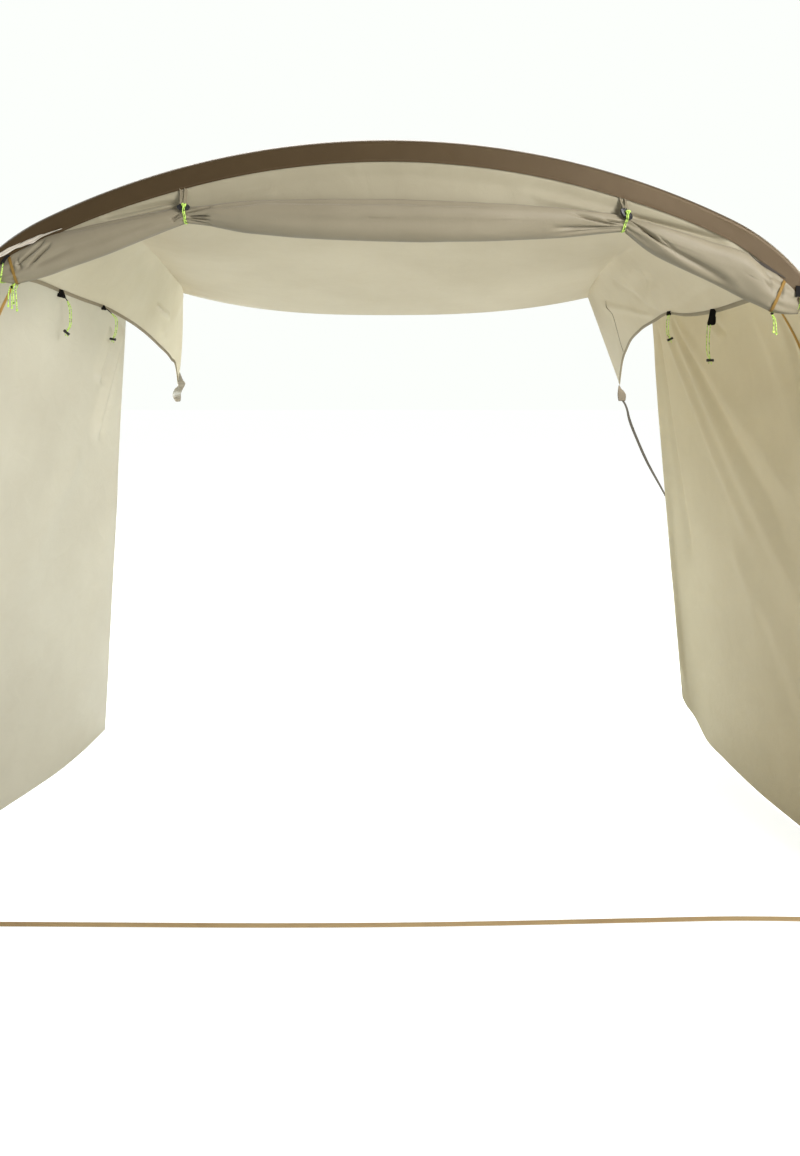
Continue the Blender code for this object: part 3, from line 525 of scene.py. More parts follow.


# Wing seam: a flat felled seam runs down across the right rear wing to its lower edge. It is sewn
# from the roof's own cloth, about 6 mm wide, and painted darker: painted shade for the light its four
# layers hold back.

# The line's points are (u, share of the depth) on the roof
SEAM_LINE = np.array([(0.790, 0.845), (0.849, 0.861), (0.899, 0.886), (0.950, 0.911), (0.985, 0.921)])
SEAM_DEPTH_SHARE = 0.0030
SEAM_INWARDS = (0.0016, 0, 0.0006)


def seam_place(a, b):
    line = smooth_at(np.linspace(0, 1, len(SEAM_LINE)), SEAM_LINE, b)
    back = line[:, 1] + (a - 0.5) * SEAM_DEPTH_SHARE
    return roof_sheet_place((line[:, 0] + 1) / 2, back) - np.array(SEAM_INWARDS)


seam_cloth = woven("wing_seam_cloth", tone(120, 110, 86), tone(108, 98, 76), 0.70, crinkle=0.4)
seam = cloth_sheet("right_wing_seam", 4, 60, (0.007, 0.38), seam_place)
thicken(seam, 0.0010)
wear(seam, seam_cloth, "canopy")


# Eave binding: a 36 mm strip of taupe webbing folded over the roof's lower edge on each side, from
# the arch to the rear tip, and sewn through with one row of stitches.

BINDING = 0.018


def binding_place(side):
    """One side's strip: a goes from one long edge over the fold to the other, b from front to rear."""
    def place(a, b):
        wing = 0.41 + 0.105 * b
        reach = 2 * np.abs(a - 0.5)
        u = side * (1 - (1 - CREASE) * BINDING / wing * reach)
        points = roof_place(u, b)
        inner = roof_place(side * (np.abs(u) - 0.012), b)
        back = roof_place(u, np.clip(b + 0.004, 0, 1)) - roof_place(u, np.clip(b - 0.004, 0, 1))
        normal = np.cross((points - inner) * side, back)
        normal /= np.linalg.norm(normal, axis=1)[:, None]
        off = np.where(a < 0.5, 1.0, -1.0) * (0.0006 + 0.0013 * ease(reach * 8))
        ruck = 0.0007 * ripple(points, 30, 4.0)
        return points + normal * (off + ruck)[:, None]
    return place


webbing_cloth = woven("taupe_webbing_weave", tone(150, 138, 112), tone(133, 121, 96), 0.85,
                      pitch=0.0022, crinkle=0.4, stitches=[("across", 0.005), ("across", 0.031)],
                      thread=tone(112, 101, 78))
BINDING_CUT = (2 * BINDING, DEPTH + 0.25)
for name, side in (("left", -1), ("right", 1)):
    binding = cloth_sheet(f"{name}_eave_binding", 12, 170, BINDING_CUT, binding_place(side))
    thicken(binding, 0.0010, flip=side > 0)
    wear(binding, webbing_cloth, "taupe_webbing", f"{name}_eave_tape")


# Side walls: beige polyester sewn to the binding at the eave and reaching the ground. The ties under
# the eave pull at them, so long soft folds fan out from there; the rear edge hangs free.

LEFT_FOOT_LINE = [(-1.389, 0.636, 0.0), (-1.348, 0.777, 0.0), (-1.305, 0.944, 0.0), (-1.283, 1.09, 0.0),
                  (-1.265, 1.344, 0.0)]
RIGHT_FOOT_LINE = [(1.408, 0.554, 0.0), (1.378, 0.738, 0.0), (1.358, 0.957, 0.0), (1.348, 1.13, 0.0),
                   (1.338, 1.20, 0.012), (1.302, 1.27, 0.098), (1.281, 1.290, 0.128), (1.268, 1.304, 0.158)]
WALL_TOP_REACH = {-1: DEPTH * 0.55, 1: DEPTH * 0.603}
WALL_EDGE_BOW = {-1: 0.0, 1: 0.003}
WALL_TUCK = 0.004
WALL_LIFT = 0.0012
FOOT_CLEARANCE = 0.012
WALL_CUT = (1.36, 1.82)


def wall_place(side, s, t):
    """Middle of a wall's cloth: s from the arch to the free rear edge, t from the ground up."""
    front_foot_x = float(arch_point(run_at_height(0.0), SLEEVE_ROUND)[0])
    foot_line = LEFT_FOOT_LINE if side < 0 else RIGHT_FOOT_LINE
    points = np.array([(side * front_foot_x, FRONT_Y, 0.0)] + foot_line)
    steps = np.linalg.norm(np.diff(points, axis=0), axis=1)
    stations = np.concatenate([[0.0], np.cumsum(steps)])
    bottom = smooth_at(stations, points, s * stations[-1])
    bottom[:, 2] = np.maximum(bottom[:, 2], 0) + WALL_LIFT + FOOT_CLEARANCE * np.maximum(0, 1 - 11 * s)
    top = eave_at(side, FRONT_Y + s * WALL_TOP_REACH[side]) + np.array([0, 0, WALL_TUCK])
    place = bottom + t[:, None] * (top - bottom)
    front_z = (1 - t) * (WALL_LIFT + FOOT_CLEARANCE) + t * (EAVE_FRONT_Z + WALL_TUCK)
    on_arch = side * arch_point(run_at_height(front_z), SLEEVE_ROUND)[0]
    front_top = eave_at(side, np.array([FRONT_Y]))[0][0]
    on_chord = side * front_foot_x + t * (front_top - side * front_foot_x)
    place[:, 0] += (on_arch - on_chord) * np.maximum(0, 1 - s) ** 2
    place[:, 0] -= side * WALL_EDGE_BOW[side] * np.sin(math.pi * np.clip(t, 0, 1)) * s**4
    return place


# Each fold: start and end as shares (along, up) of the wall, half width in metres, height inwards
WALL_FOLDS = {
    -1: [((0.965, 0.980), (0.80, 0.70), 0.013, 0.024), ((0.975, 0.940), (0.84, 0.70), 0.012, -0.018),
         ((0.885, 0.960), (0.80, 0.83), 0.012, 0.019), ((0.915, 0.950), (0.83, 0.83), 0.010, -0.019),
         ((0.72, 0.68), (0.40, 0.40), 0.034, 0.010), ((0.50, 0.98), (0.45, 0.10), 0.090, 0.005),
         ((0.20, 0.98), (0.22, 0.05), 0.080, -0.005), ((0.98, 0.60), (0.80, 0.06), 0.050, 0.006)],
    1: [((0.975, 0.06), (0.975, 0.97), 0.012, 0.012), ((0.945, 0.985), (0.84, 0.40), 0.012, -0.013),
        ((0.885, 0.985), (0.42, 0.50), 0.015, 0.012), ((0.185, 0.995), (0.150, 0.78), 0.010, -0.014),
        ((0.70, 0.92), (0.22, 0.64), 0.034, -0.004),
        ((0.825, 0.995), (0.24, 0.42), 0.018, 0.011), ((0.80, 0.995), (0.27, 0.55), 0.014, -0.009),
        ((0.785, 0.995), (0.22, 0.62), 0.024, 0.012), ((0.56, 0.52), (0.24, 0.16), 0.040, 0.014),
        ((0.47, 0.40), (0.26, 0.10), 0.036, -0.013), ((0.56, 0.985), (0.50, 0.94), 0.008, 0.005),
        ((0.53, 0.985), (0.46, 0.95), 0.006, -0.005), ((0.30, 0.98), (0.10, 0.55), 0.028, 0.008),
        ((0.10, 0.93), (0.13, 0.40), 0.024, -0.008)],
}


def wall_sheet_place(side):
    """The same with its folds: a along the wall, b up."""
    def place(a, b):
        points = wall_place(side, a, b)
        lift = 0.0022 * ripple(points, 2.6, 11.0 + side) + 0.0008 * ripple(points, 9.0, 6.0)
        for start, end, width, height in WALL_FOLDS[side]:
            line = np.array([start, end]) * WALL_CUT
            lift = lift + height * fold(a * WALL_CUT[0], b * WALL_CUT[1], line[0], line[1], width, 2.0)
        held = ease(a / 0.04) * ease((1 - b) / 0.03) * ease(b / 0.05 + 0.25)
        points[:, 0] -= side * lift * held
        return points
    return place


HEM = 0.012
# Both walls are the same beige cloth: the right one is painted warmer and the left one whiter, painted
# light for the warm light through the right wall and the white lamplight off the left.
for name, side, colour, shade in (("left", -1, tone(209, 204, 189), tone(200, 194, 178)),
                                  ("right", 1, tone(212, 203, 177), tone(203, 193, 165))):
    wall_cloth = woven(f"beige_{name}_wall_cloth", colour, shade, 0.50, glow=0.35,
                       stitches=[("across", WALL_CUT[0] - HEM), ("along", HEM)],
                       thread=tone(180, 170, 142))
    wall = cloth_sheet(f"{name}_side_wall", 180, 200, WALL_CUT, wall_sheet_place(side))
    thicken(wall, 0.0012, flip=side > 0)
    wear(wall, wall_cloth, "canopy", f"{name}_wall")


# Wall zips: orange zip tape sewn to the inside of each wall, nearer the leg at the ground than at
# the eave, with a narrow coil of the same colour down its middle.

ZIP_CUT = {-1: (0.020, 1.82), 1: (0.013, 1.82)}
ZIP_FOOT = 0.07
ZIP_TOP = {-1: 0.235, 1: 0.175}
ZIP_POWER = {-1: 1.5, 1: 5}
WALL_RUN = 1.38


def zip_place(side):
    """The tape on its wall: its foot, its top and how late it curves away, as shares of the wall."""
    def place(a, b):
        middle = ZIP_FOOT + (ZIP_TOP[side] - ZIP_FOOT) * b ** ZIP_POWER[side]
        points = wall_sheet_place(side)(middle + (a - 0.5) * ZIP_CUT[side][0] / WALL_RUN, b)
        coil = 0.0010 * ease(1 - np.abs(a - 0.5) / 0.16)
        points[:, 0] -= side * (0.0020 + coil)
        return points
    return place


# The zip tape is painted lighter than the roll bands of the same tape: painted light for the zips, which
# lie in the shade.
zip_cloth = woven("orange_zip_weave", tone(186, 142, 50), tone(166, 122, 40), 0.70,
                  pitch=0.0018, crinkle=0.3,
                  stitches=[("across", 0.003), ("across", 0.010)], thread=tone(120, 88, 30))
for name, side in (("left", -1), ("right", 1)):
    tape = cloth_sheet(f"{name}_zip_tape", 10, 200, ZIP_CUT[side], zip_place(side))
    thicken(tape, 0.0010, flip=side > 0)
    wear(tape, zip_cloth, "orange_tape", f"{name}_wall_zip")


# Rolled door: the front door, polyester rolled up loosely under the arch; the roll is painted a darker
# taupe than its flat top.
# Cords draw it in at two places and zip tape holds its ends, so it hangs in three swags with long folds.

ROLL_Y = 0.012
TIE_X = (-0.566, 0.672)
CENTRE_ROLL = [(-0.566, 2.016, 1.970, 0.022), (-0.500, 2.018, 1.962, 0.028), (-0.400, 2.028, 1.945, 0.033),
               (-0.244, 2.034, 1.931, 0.037), (0.036, 2.036, 1.920, 0.038), (0.316, 2.024, 1.922, 0.037),
               (0.500, 2.008, 1.932, 0.033), (0.600, 1.998, 1.941, 0.028), (0.672, 1.992, 1.946, 0.022)]
LEFT_ROLL = [(-1.098, 1.856, 1.808, 0.018), (-1.056, 1.884, 1.798, 0.025), (-1.000, 1.912, 1.808, 0.030),
             (-0.950, 1.9365, 1.822, 0.032), (-0.894, 1.951, 1.844, 0.033), (-0.800, 1.972, 1.877, 0.032),
             (-0.640, 2.004, 1.941, 0.027), (-0.566, 2.016, 1.970, 0.022)]
RIGHT_ROLL = [(0.672, 1.990, 1.942, 0.022), (0.723, 1.972, 1.903, 0.030), (0.831, 1.938, 1.845, 0.034),
              (0.906, 1.914, 1.810, 0.035), (1.007, 1.880, 1.759, 0.035), (1.050, 1.850, 1.737, 0.033),
              (1.085, 1.835, 1.719, 0.029), (1.125, 1.806, 1.713, 0.021), (1.160, 1.774, 1.714, 0.012)]

ROLL_FACE = 0.11
SWAG_CUT = (1.2, 0.25)

# Each fold: start and end as (x, share of the height), half width in metres, depth
ROLL_FOLDS = {
    "left": [
        ((-1.030, 0.50), (-0.950, 0.90), 0.0036, 0.016), ((-1.000, 0.34), (-0.930, 0.74), 0.0034, 0.014),
        ((-1.034, 0.70), (-1.018, 0.26), 0.0032, 0.008), ((-1.048, 0.30), (-1.038, 0.75), 0.0030, 0.004),
        ((-0.985, 0.30), (-0.86, 0.42), 0.0080, 0.006), ((-0.64, 0.86), (-0.92, 0.93), 0.0035, 0.006),
        ((-0.602, 0.32), (-0.577, 0.60), 0.0025, 0.009), ((-0.60, 0.20), (-0.575, 0.40), 0.0025, 0.008),
        ((-0.62, 0.50), (-0.95, 0.40), 0.0140, 0.004)],
    "centre": [
        ((-0.562, 0.54), (-0.48, 0.95), 0.0035, 0.015), ((-0.556, 0.30), (-0.49, 0.44), 0.0040, 0.015),
        ((-0.556, 0.20), (-0.49, 0.22), 0.0030, 0.011), ((-0.556, 0.09), (-0.48, 0.03), 0.0030, 0.008),
        ((-0.50, 0.80), (-0.34, 0.92), 0.0050, 0.006), ((-0.36, 0.90), (0.50, 0.90), 0.0070, 0.009),
        ((-0.30, 0.40), (0.42, 0.40), 0.0120, 0.006), ((0.645, 0.30), (0.50, 0.88), 0.0045, 0.012),
        ((0.650, 0.20), (0.44, 0.26), 0.0055, 0.012), ((0.655, 0.45), (0.60, 0.60), 0.0030, 0.009),
        ((0.655, 0.12), (0.45, 0.08), 0.0030, 0.006)],
    "right": [
        ((0.678, 0.72), (0.766, 0.38), 0.0030, 0.024), ((0.700, 0.50), (0.810, 0.28), 0.0032, 0.007),
        ((0.755, 0.55), (0.810, 0.32), 0.0032, 0.006), ((0.775, 0.34), (1.000, 0.05), 0.0080, 0.012),
        ((0.940, 0.48), (1.030, 0.16), 0.0080, 0.0012), ((1.045, 0.62), (1.075, 0.40), 0.0035, 0.003),
        ((1.050, 0.85), (1.075, 0.70), 0.0050, 0.004), ((1.062, 0.75), (1.078, 0.55), 0.0030, -0.003),
        ((1.105, 0.80), (1.095, 0.30), 0.0035, 0.006)],
}


def roll_place(stations, folds, ties, seed, lean):
    """Surface of one swag: a runs along it, b round it from its back over the top to the front.
    Where it leans, its top hangs that much further forward than its middle."""
    table = np.array(stations)

    def place(a, b):
        x = table[0, 0] + a * (table[-1, 0] - table[0, 0])
        top, bottom, depth = smooth_at(table[:, 0], table[:, 1:], x).T
        angle = math.pi - math.tau * b
        share = (np.sin(angle) + 1) / 2
        high = (top - bottom) / 2
        out = 0.0012 * ripple(np.column_stack([x * 0.5, share * 0.16, angle * 0.05]), 22, seed)
        front = np.where(np.cos(angle) < 0.15, 1.0, 0.35)
        for start, end, width, deep in folds:
            line = np.array([start, end]) * (1, ROLL_FACE)
            out = out - deep * front * fold(x, share * ROLL_FACE, line[0], line[1], width, 0.8, 0.4)
        for tie in ties:
            near = np.exp(-np.abs(x - tie) / 0.035)
            out = out - near * (0.0016 + 0.0022 * np.cos(angle * 9 + 1.3 + seed))
        between_ties = np.min([ease(np.abs(x - tie) / 0.10) for tie in ties], axis=0)
        y = ROLL_Y + (depth + out) * np.cos(angle) - lean * np.sin(angle) * between_ties
        z = (top + bottom) / 2 + (high + out) * np.sin(angle)
        return np.column_stack([x, y, z])
    return place


def close_ring(piece, gap=0.0004):
    """Joins the two long edges of a rolled sheet and closes its ends."""
    bpy.ops.object.select_all(action="DESELECT")
    piece.select_set(True)
    bpy.context.view_layer.objects.active = piece
    bpy.ops.object.mode_set(mode="EDIT")
    bpy.ops.mesh.select_all(action="SELECT")
    bpy.ops.mesh.remove_doubles(threshold=gap)
    bpy.ops.mesh.select_all(action="DESELECT")
    bpy.ops.mesh.select_non_manifold()
    bpy.ops.mesh.edge_face_add()
    bpy.ops.mesh.select_all(action="SELECT")
    bpy.ops.mesh.normals_make_consistent(inside=False)
    bpy.ops.object.mode_set(mode="OBJECT")
    piece.data.shade_smooth()
    piece.data.set_sharp_from_angle(angle=math.radians(60))


# The roll is painted darker than the apron, which is the same door cloth: painted shade for the light its
# rolled layers hold back.
door_cloth = woven("taupe_door_cloth", tone(138, 128, 106), tone(126, 116, 94), 0.55, glow=0.10)

# For each swag: its stations (x, top, bottom, depth), where it is drawn in, columns, forward lean
ROLL_SWAGS = {"left": (LEFT_ROLL, (TIE_X[0], -1.042), 190, 0.0), "centre": (CENTRE_ROLL, TIE_X, 440, 0.014),
              "right": (RIGHT_ROLL, (TIE_X[1], 1.095), 190, 0.016)}
for seed, (name, (stations, ties, columns, lean)) in enumerate(ROLL_SWAGS.items()):
    shape = roll_place(stations, ROLL_FOLDS[name], ties, seed * 7.0, lean)
    swag = cloth_sheet(f"door_swag_{name}", columns, 104, SWAG_CUT, shape)
    close_ring(swag)
    wear(swag, door_cloth, "door", f"door_roll_{name}")


# Apron: the top of the door that still hangs flat, a half moon of beige cloth between the sleeve's
# lower edge and the roll. At both ends it runs out in a narrow strip along the sleeve.

APRON_REACH = 1.12
APRON_CUT = (2 * APRON_REACH, 0.12)
APRON_TUCK = 0.004
APRON_BULGE = 0.014


def sleeve_edge_z(x):
    run = np.linspace(0, 2.2, 1500)
    edge_x, edge_z = arch_point(run, sleeve_height(run))
    return np.interp(np.abs(x), edge_x, edge_z)


def roll_top(x):
    tops = np.array(LEFT_ROLL[:-1] + CENTRE_ROLL[:-1] + RIGHT_ROLL)
    return np.interp(x, tops[:, 0], tops[:, 1])


# Each fold: start and end as (x, height over the roll), half width, height forwards, all in metres
APRON_FOLDS = [
    ((0.665, 0.000), (0.40, 0.035), 0.006, 0.004), ((0.665, 0.010), (0.33, 0.055), 0.008, 0.003),
    ((0.68, 0.014), (0.96, 0.022), 0.005, -0.010), ((0.70, 0.004), (1.00, 0.008), 0.006, 0.009),
    ((-0.590, 0.024), (-0.810, 0.016), 0.005, -0.009), ((-0.60, 0.014), (-0.82, 0.006), 0.006, 0.007),
    ((-0.55, 0.000), (-0.30, 0.030), 0.007, 0.003)]


def apron_place(a, b):
    x = (2 * a - 1) * APRON_REACH
    high = sleeve_edge_z(x) + APRON_TUCK
    low = np.minimum(roll_top(x) - 0.006, high - 0.012)
    z = high + b * (low - high)
    y = 0.0005 + APRON_BULGE * ease(b * (high - low) / 0.05)
    lift = 0.0010 * ripple(np.column_stack([x, z, y * 0]), 14, 9.0)
    for start, end, width, height in APRON_FOLDS:
        lift = lift + height * fold(x, z - low, start, end, width, 1.2)
    return np.column_stack([x, y - lift * ease(b / 0.2), z])


apron = cloth_sheet("door_apron_cloth", 260, 22, APRON_CUT, apron_place)
thicken(apron, 0.0011)
apron_cloth = woven("beige_apron_cloth", tone(172, 163, 138), tone(160, 150, 125), 0.60, glow=0.30)
wear(apron, apron_cloth, "canopy", "door_apron")

# The end of the apron that turns out over the sleeve at the far left, painted pale: x, upper and lower edge
TURN_OUT_CUT = (0.17, 0.018)
TURN_OUT = np.array([(-1.0900, 1.8840, 1.8640), (-1.0779, 1.8884, 1.8700), (-1.0604, 1.8976, 1.8778),
                     (-1.0395, 1.9046, 1.8905), (-1.0182, 1.9152, 1.8985), (-0.9973, 1.9227, 1.9070),
                     (-0.9830, 1.9278, 1.9105), (-0.9690, 1.9334, 1.9214), (-0.9550, 1.9372, 1.9284),
                     (-0.9268, 1.9452, 1.9416), (-0.9080, 1.9500, 1.9492)])


def turn_out_place(a, b):
    x = TURN_OUT[0, 0] + a * (TURN_OUT[-1, 0] - TURN_OUT[0, 0])
    upper, lower = smooth_at(TURN_OUT[:, 0], TURN_OUT[:, 1:], x).T
    ruck = 0.0016 * ripple(np.column_stack([x, b, x * 0]) * (1.0, 0.012, 1.0), 75, 2.0)
    ruck = ruck + 0.0018 * np.sin(math.tau * (1.5 * b + 13 * (x + 1.09)))
    return np.column_stack([x, -0.0065 - 0.0085 * b + ruck, upper + b * (lower - upper) + ruck * 0.6])


turn_out = cloth_sheet("apron_turn_out", 110, 10, TURN_OUT_CUT, turn_out_place)
thicken(turn_out, 0.0012)
# Painted light: the turn-out is the apron's cloth painted much paler, as if brightly lit, and its crinkled
# mix toward a darker tone paints highlights and shaded streaks.
lit_turn_out_cloth = woven("painted_light_turn_out_cloth", tone(226, 216, 200), tone(176, 166, 150), 0.60, glow=0.20,
                   crinkle=2.2)
wear(turn_out, lit_turn_out_cloth, "canopy")


# Roll bands: one turn of the orange zip tape round each end of the roll, leaning outwards as it
# goes up, where the door's zip is wound in with the cloth.

BAND_WIDTH = 0.010


def band_place(stations, top_x, bottom_x, bow):
    """A ring round the roll from one x on its top to one below; bow shifts its front aside."""
    table = np.array(stations)

    def place(a, b):
        angle = math.pi - math.tau * b
        x = (top_x + bottom_x) / 2 + (top_x - bottom_x) / 2 * np.sin(angle) + (a - 0.5) * BAND_WIDTH * 0.8
        x = x + bow * np.maximum(0, -np.cos(angle))
        top, bottom, depth = smooth_at(table[:, 0], table[:, 1:], x).T
        out = 0.0008 + 0.0007 * ease(1 - np.abs(a - 0.5) / 0.2)
        y = ROLL_Y + (depth + out) * np.cos(angle)
        z = (top + bottom) / 2 + ((top - bottom) / 2 + out) * np.sin(angle)
        return np.column_stack([x, y, z])
    return place


# The bands are painted darker than the wall zips of the same tape: painted shade against the front lamp's
# full light on them.
band_cloth = woven("orange_band_weave", tone(132, 100, 26), tone(116, 84, 20), 0.75, pitch=0.0018,
                   stitches=[("across", 0.002), ("across", 0.008)], thread=tone(92, 68, 20), crinkle=0.3)
for name, line, cut in (("left", (LEFT_ROLL, -1.066, -1.041, 0.008), 0.19),
                        ("right", (RIGHT_ROLL, 1.122, 1.079, -0.007), 0.24)):
    band = cloth_sheet(f"{name}_zip_band", 8, 64, (BAND_WIDTH, cut), band_place(*line))
    bpy.ops.object.mode_set(mode="EDIT")
    bpy.ops.mesh.remove_doubles(threshold=0.0002)
    bpy.ops.object.mode_set(mode="OBJECT")
    thicken(band, 0.0009)
    wear(band, band_cloth, "orange_tape", f"{name}_roll_band")


# Cords: 3 mm braided polyester, neon green with dark flecks. Their colour also glows a little, painted
# light that keeps them bright in the shade. Each cord is one smooth curve.

CORD_RADIUS = 0.0015


def braided(name, green, fleck):
    """Braided cord: small raised cells, and flecks of a darker yarn."""
    material, shader, wire = new_finish(name, 0.65)
    place = wire.node("ShaderNodeTexCoord", {}, {}, "Object")
    cells = wire.node("ShaderNodeTexVoronoi", {}, {"Vector": place, "Scale": 620.0})
    flecks = wire.node("ShaderNodeTexNoise", {}, {"Vector": place, "Scale": 210.0, "Detail": 2.0})
    share = wire.node("ShaderNodeMapRange", {}, {"Value": flecks, "From Min": 0.52, "From Max": 0.60})
    colour = wire.node("ShaderNodeMix", {"data_type": "RGBA"}, {0: share * 0.85, 6: green, 7: fleck}, 2)
    colour.into(shader.inputs["Base Color"])
    # Painted light: the cord's own colour glows a little, so it stays bright in the shade.
    colour.into(shader.inputs["Emission Color"])
    shader.inputs["Emission Strength"].default_value = 0.30
    bump = wire.node("ShaderNodeBump", {}, {"Height": cells, "Distance": 0.0004, "Strength": 0.6})
    bump.into(shader.inputs["Normal"])
    return material


def smooth_path(points, count):
    """Evenly spread points on the smooth curve through the given ones."""
    points = np.asarray(points, float)
    stations = np.concatenate([[0.0], np.cumsum(np.linalg.norm(np.diff(points, axis=0), axis=1))])
    return smooth_at(stations, points, np.linspace(0, stations[-1], count))


def lay_cord(name, path, radius=CORD_RADIUS):
    """A round cord along a path, as a curve with closed ends."""
    curve = bpy.data.curves.new(name, "CURVE")
    curve.dimensions = "3D"
    curve.bevel_depth = radius
    curve.bevel_resolution = 3
    curve.use_fill_caps = True
    spline = curve.splines.new("POLY")
    spline.points.add(len(path) - 1)
    for point, place in zip(spline.points, path):
        point.co = (*place, 1.0)
    piece = bpy.data.objects.new(name, curve)
    bpy.context.scene.collection.objects.link(piece)
    return piece


neon = braided("neon_braid", tone(176, 208, 92), tone(66, 84, 42))


# Upper ties: a strip of taupe webbing sewn under the sleeve runs down through a flat oval cord lock
# and back up. A doubled cord goes round the roll and draws it in, knotted over the lock.

# The hangers use a darker copy of the taupe webbing: painted shade.
shaded_webbing = woven("shaded_taupe_webbing", tone(122, 112, 90), tone(104, 94, 74), 0.85, pitch=0.0022,
                       crinkle=0.4)
LOCK_Y = -0.018

# For each tie: x and z of its lock, the lock's tilt, and how far the cord leans aside below
LOCKS = {"left": (-0.566, 2.008, 0.0, -0.002), "right": (0.665, 1.989, 0.78, -0.005)}


def oval_lock(name, centre, tilt):
    """A flat oval body, dished on both faces; tilt turns its right end down."""
    bpy.ops.object.select_all(action="DESELECT")
    bpy.ops.mesh.primitive_cylinder_add(vertices=48, radius=0.0205, depth=0.011)
    lock = bpy.context.object
    lock.name = name
    for face in lock.data.polygons:
        face.select = abs(face.normal.z) > 0.9
    bpy.ops.object.mode_set(mode="EDIT")
    bpy.ops.mesh.select_mode(type="FACE")
    bpy.ops.mesh.inset(thickness=0.0045, depth=-0.0020)
    bpy.ops.mesh.select_all(action="SELECT")
    bpy.ops.transform.resize(value=(1, 0.52, 1))
    bpy.ops.object.mode_set(mode="OBJECT")
    lock.rotation_euler = (math.pi / 2, tilt, 0)
    lock.location = centre
    bpy.ops.object.transform_apply(location=True, rotation=True, scale=True)
    apply_modifier(lock, "BEVEL", width=0.0013, segments=3, limit_method="ANGLE")
    lock.data.shade_smooth()
    lock.data.set_sharp_from_angle(angle=math.radians(40))
    return lock


def webbing_strip(name, path, across, width, thickness):
    """Flat webbing along a path; across is the way its width lies, once or at each point."""
    path = np.asarray(path, float)
    across = np.array(np.broadcast_to(np.asarray(across, float), path.shape))
    stations = np.concatenate([[0.0], np.cumsum(np.linalg.norm(np.diff(path, axis=0), axis=1))])
    length = float(stations[-1])

    def place(a, b):
        middle = smooth_at(stations, path, b * length)
        return middle + (a - 0.5)[:, None] * width * smooth_at(stations, across, b * length)

    strip = cloth_sheet(name, 6, max(24, int(length / 0.006)), (width, length), place)
    thicken(strip, thickness)
    return strip, length


def knot_path(centre, size, turn=0.0):
    """An overhand knot, drawn tight: a trefoil of the given half width."""
    t = np.linspace(0, math.tau, 40) + turn
    loops = [np.sin(t) + 2 * np.sin(2 * t), -0.6 * np.sin(3 * t), np.cos(t) - 2 * np.cos(2 * t)]
    return np.asarray(centre) + np.column_stack(loops) * size / 3


for name, stations in (("left", CENTRE_ROLL[0]), ("right", CENTRE_ROLL[-1])):
    x, lock_z, tilt, lean = LOCKS[name]
    top, bottom, depth = stations[1:]
    edge = float(sleeve_edge_z(x)) + 0.004
    lock = oval_lock(f"{name}_cord_lock", (x, LOCK_Y, lock_z), tilt)
    wear(lock, black_plastic, "black_plastic", f"{name}_upper_tie_lock")
    half, eye, through = (edge - lock_z) / 2 + lock_z, lock_z + 0.004, LOCK_Y + 0.001
    line = [(x - 0.0115, -0.0003, edge + 0.002), (x - 0.0105, -0.0012, edge - 0.006),
            (x - 0.007, -0.010, half), (x - 0.004, through, eye), (x, through + 0.007, eye - 0.003),
            (x + 0.004, through, eye), (x + 0.0035, -0.010, half),
            (x + 0.003, -0.0012, edge - 0.006), (x + 0.003, -0.0003, edge + 0.002)]
    hanger, hanger_length = webbing_strip(f"{name}_upper_hanger", line, (0.80, 0.60, 0), 0.010, 0.0009)
    wear(hanger, shaded_webbing, "taupe_webbing", f"{name}_upper_tie_hanger")
    angles = np.radians(np.linspace(200, 512, 60))
    for k, aside in enumerate((x - 0.0002, x + 0.0042)):
        ring = np.column_stack([aside + lean * (1 - np.sin(angles)) / 2,
                                ROLL_Y + (depth + 0.0014) * np.cos(angles),
                                (top + bottom) / 2 + ((top - bottom) / 2 + 0.0014) * np.sin(angles)])
        lead = smooth_path([(aside, LOCK_Y - 0.004, lock_z + 0.001),
                            (aside, LOCK_Y - 0.0075, lock_z - 0.007), ring[0]], 10)
        draw_cord = lay_cord(f"{name}_draw_cord_{k + 1}", np.vstack([lead[:-1], ring]))
        wear(draw_cord, neon, "neon_cord", *([f"{name}_upper_tie_cord"] if k == 0 else []))
    knot_route = knot_path((x + 0.003, LOCK_Y - 0.0085, lock_z + 0.004), 0.0060)
    knot = lay_cord(f"{name}_draw_knot", knot_route, 0.0016)
    wear(knot, neon, "neon_cord")


# Shoulder ties: at each end of the roll a tab of black webbing is sewn to the sleeve. A bunch of the
# neon cord hangs from it behind the roll and comes out below through a black thread, ends knotted.

black_webbing = woven("black_webbing_weave", tone(14, 12, 11), tone(24, 21, 19), 0.95, pitch=0.0018,
                      crinkle=0.3)
black_webbing.node_tree.nodes["Principled BSDF"].inputs["Specular IOR Level"].default_value = 0.15

# For each side: the tab's line and width, the first cord's route, and for each other cord how far
# its end lies aside and forward of that route and what share of the drop it has
SHOULDERS = {
    "left": ([(-1.0560, -0.0100, 1.876), (-1.0630, -0.0170, 1.864), (-1.0690, -0.0200, 1.850)], 0.010,
             [(-1.0650, -0.0215, 1.8520), (-1.0680, -0.0225, 1.8352), (-1.0712, -0.0210, 1.8182),
              (-1.0800, -0.0120, 1.8050), (-1.0860, 0.0060, 1.8040), (-1.0800, 0.0300, 1.8080),
              (-1.0600, 0.0330, 1.8040), (-1.0500, 0.0160, 1.7960), (-1.0485, -0.0030, 1.7860),
              (-1.0480, -0.0070, 1.7740), (-1.0475, -0.0080, 1.7320)],
             [(-0.012, 0.004, 0.96), (0.007, -0.003, 0.90), (0.013, 0.003, 1.06)]),
    "right": ([(1.1490, -0.0080, 1.791), (1.1475, -0.0100, 1.775), (1.1460, -0.0110, 1.760)], 0.014,
              [(1.1530, -0.0112, 1.7585), (1.1560, 0.0000, 1.7400), (1.1500, 0.0180, 1.7220),
               (1.1150, 0.0320, 1.7260), (1.0920, 0.0260, 1.7240), (1.0800, 0.0060, 1.7130),
               (1.0795, -0.0050, 1.6980), (1.0800, -0.0060, 1.6640)],
              [(0.007, -0.002, 1.05)]),
}
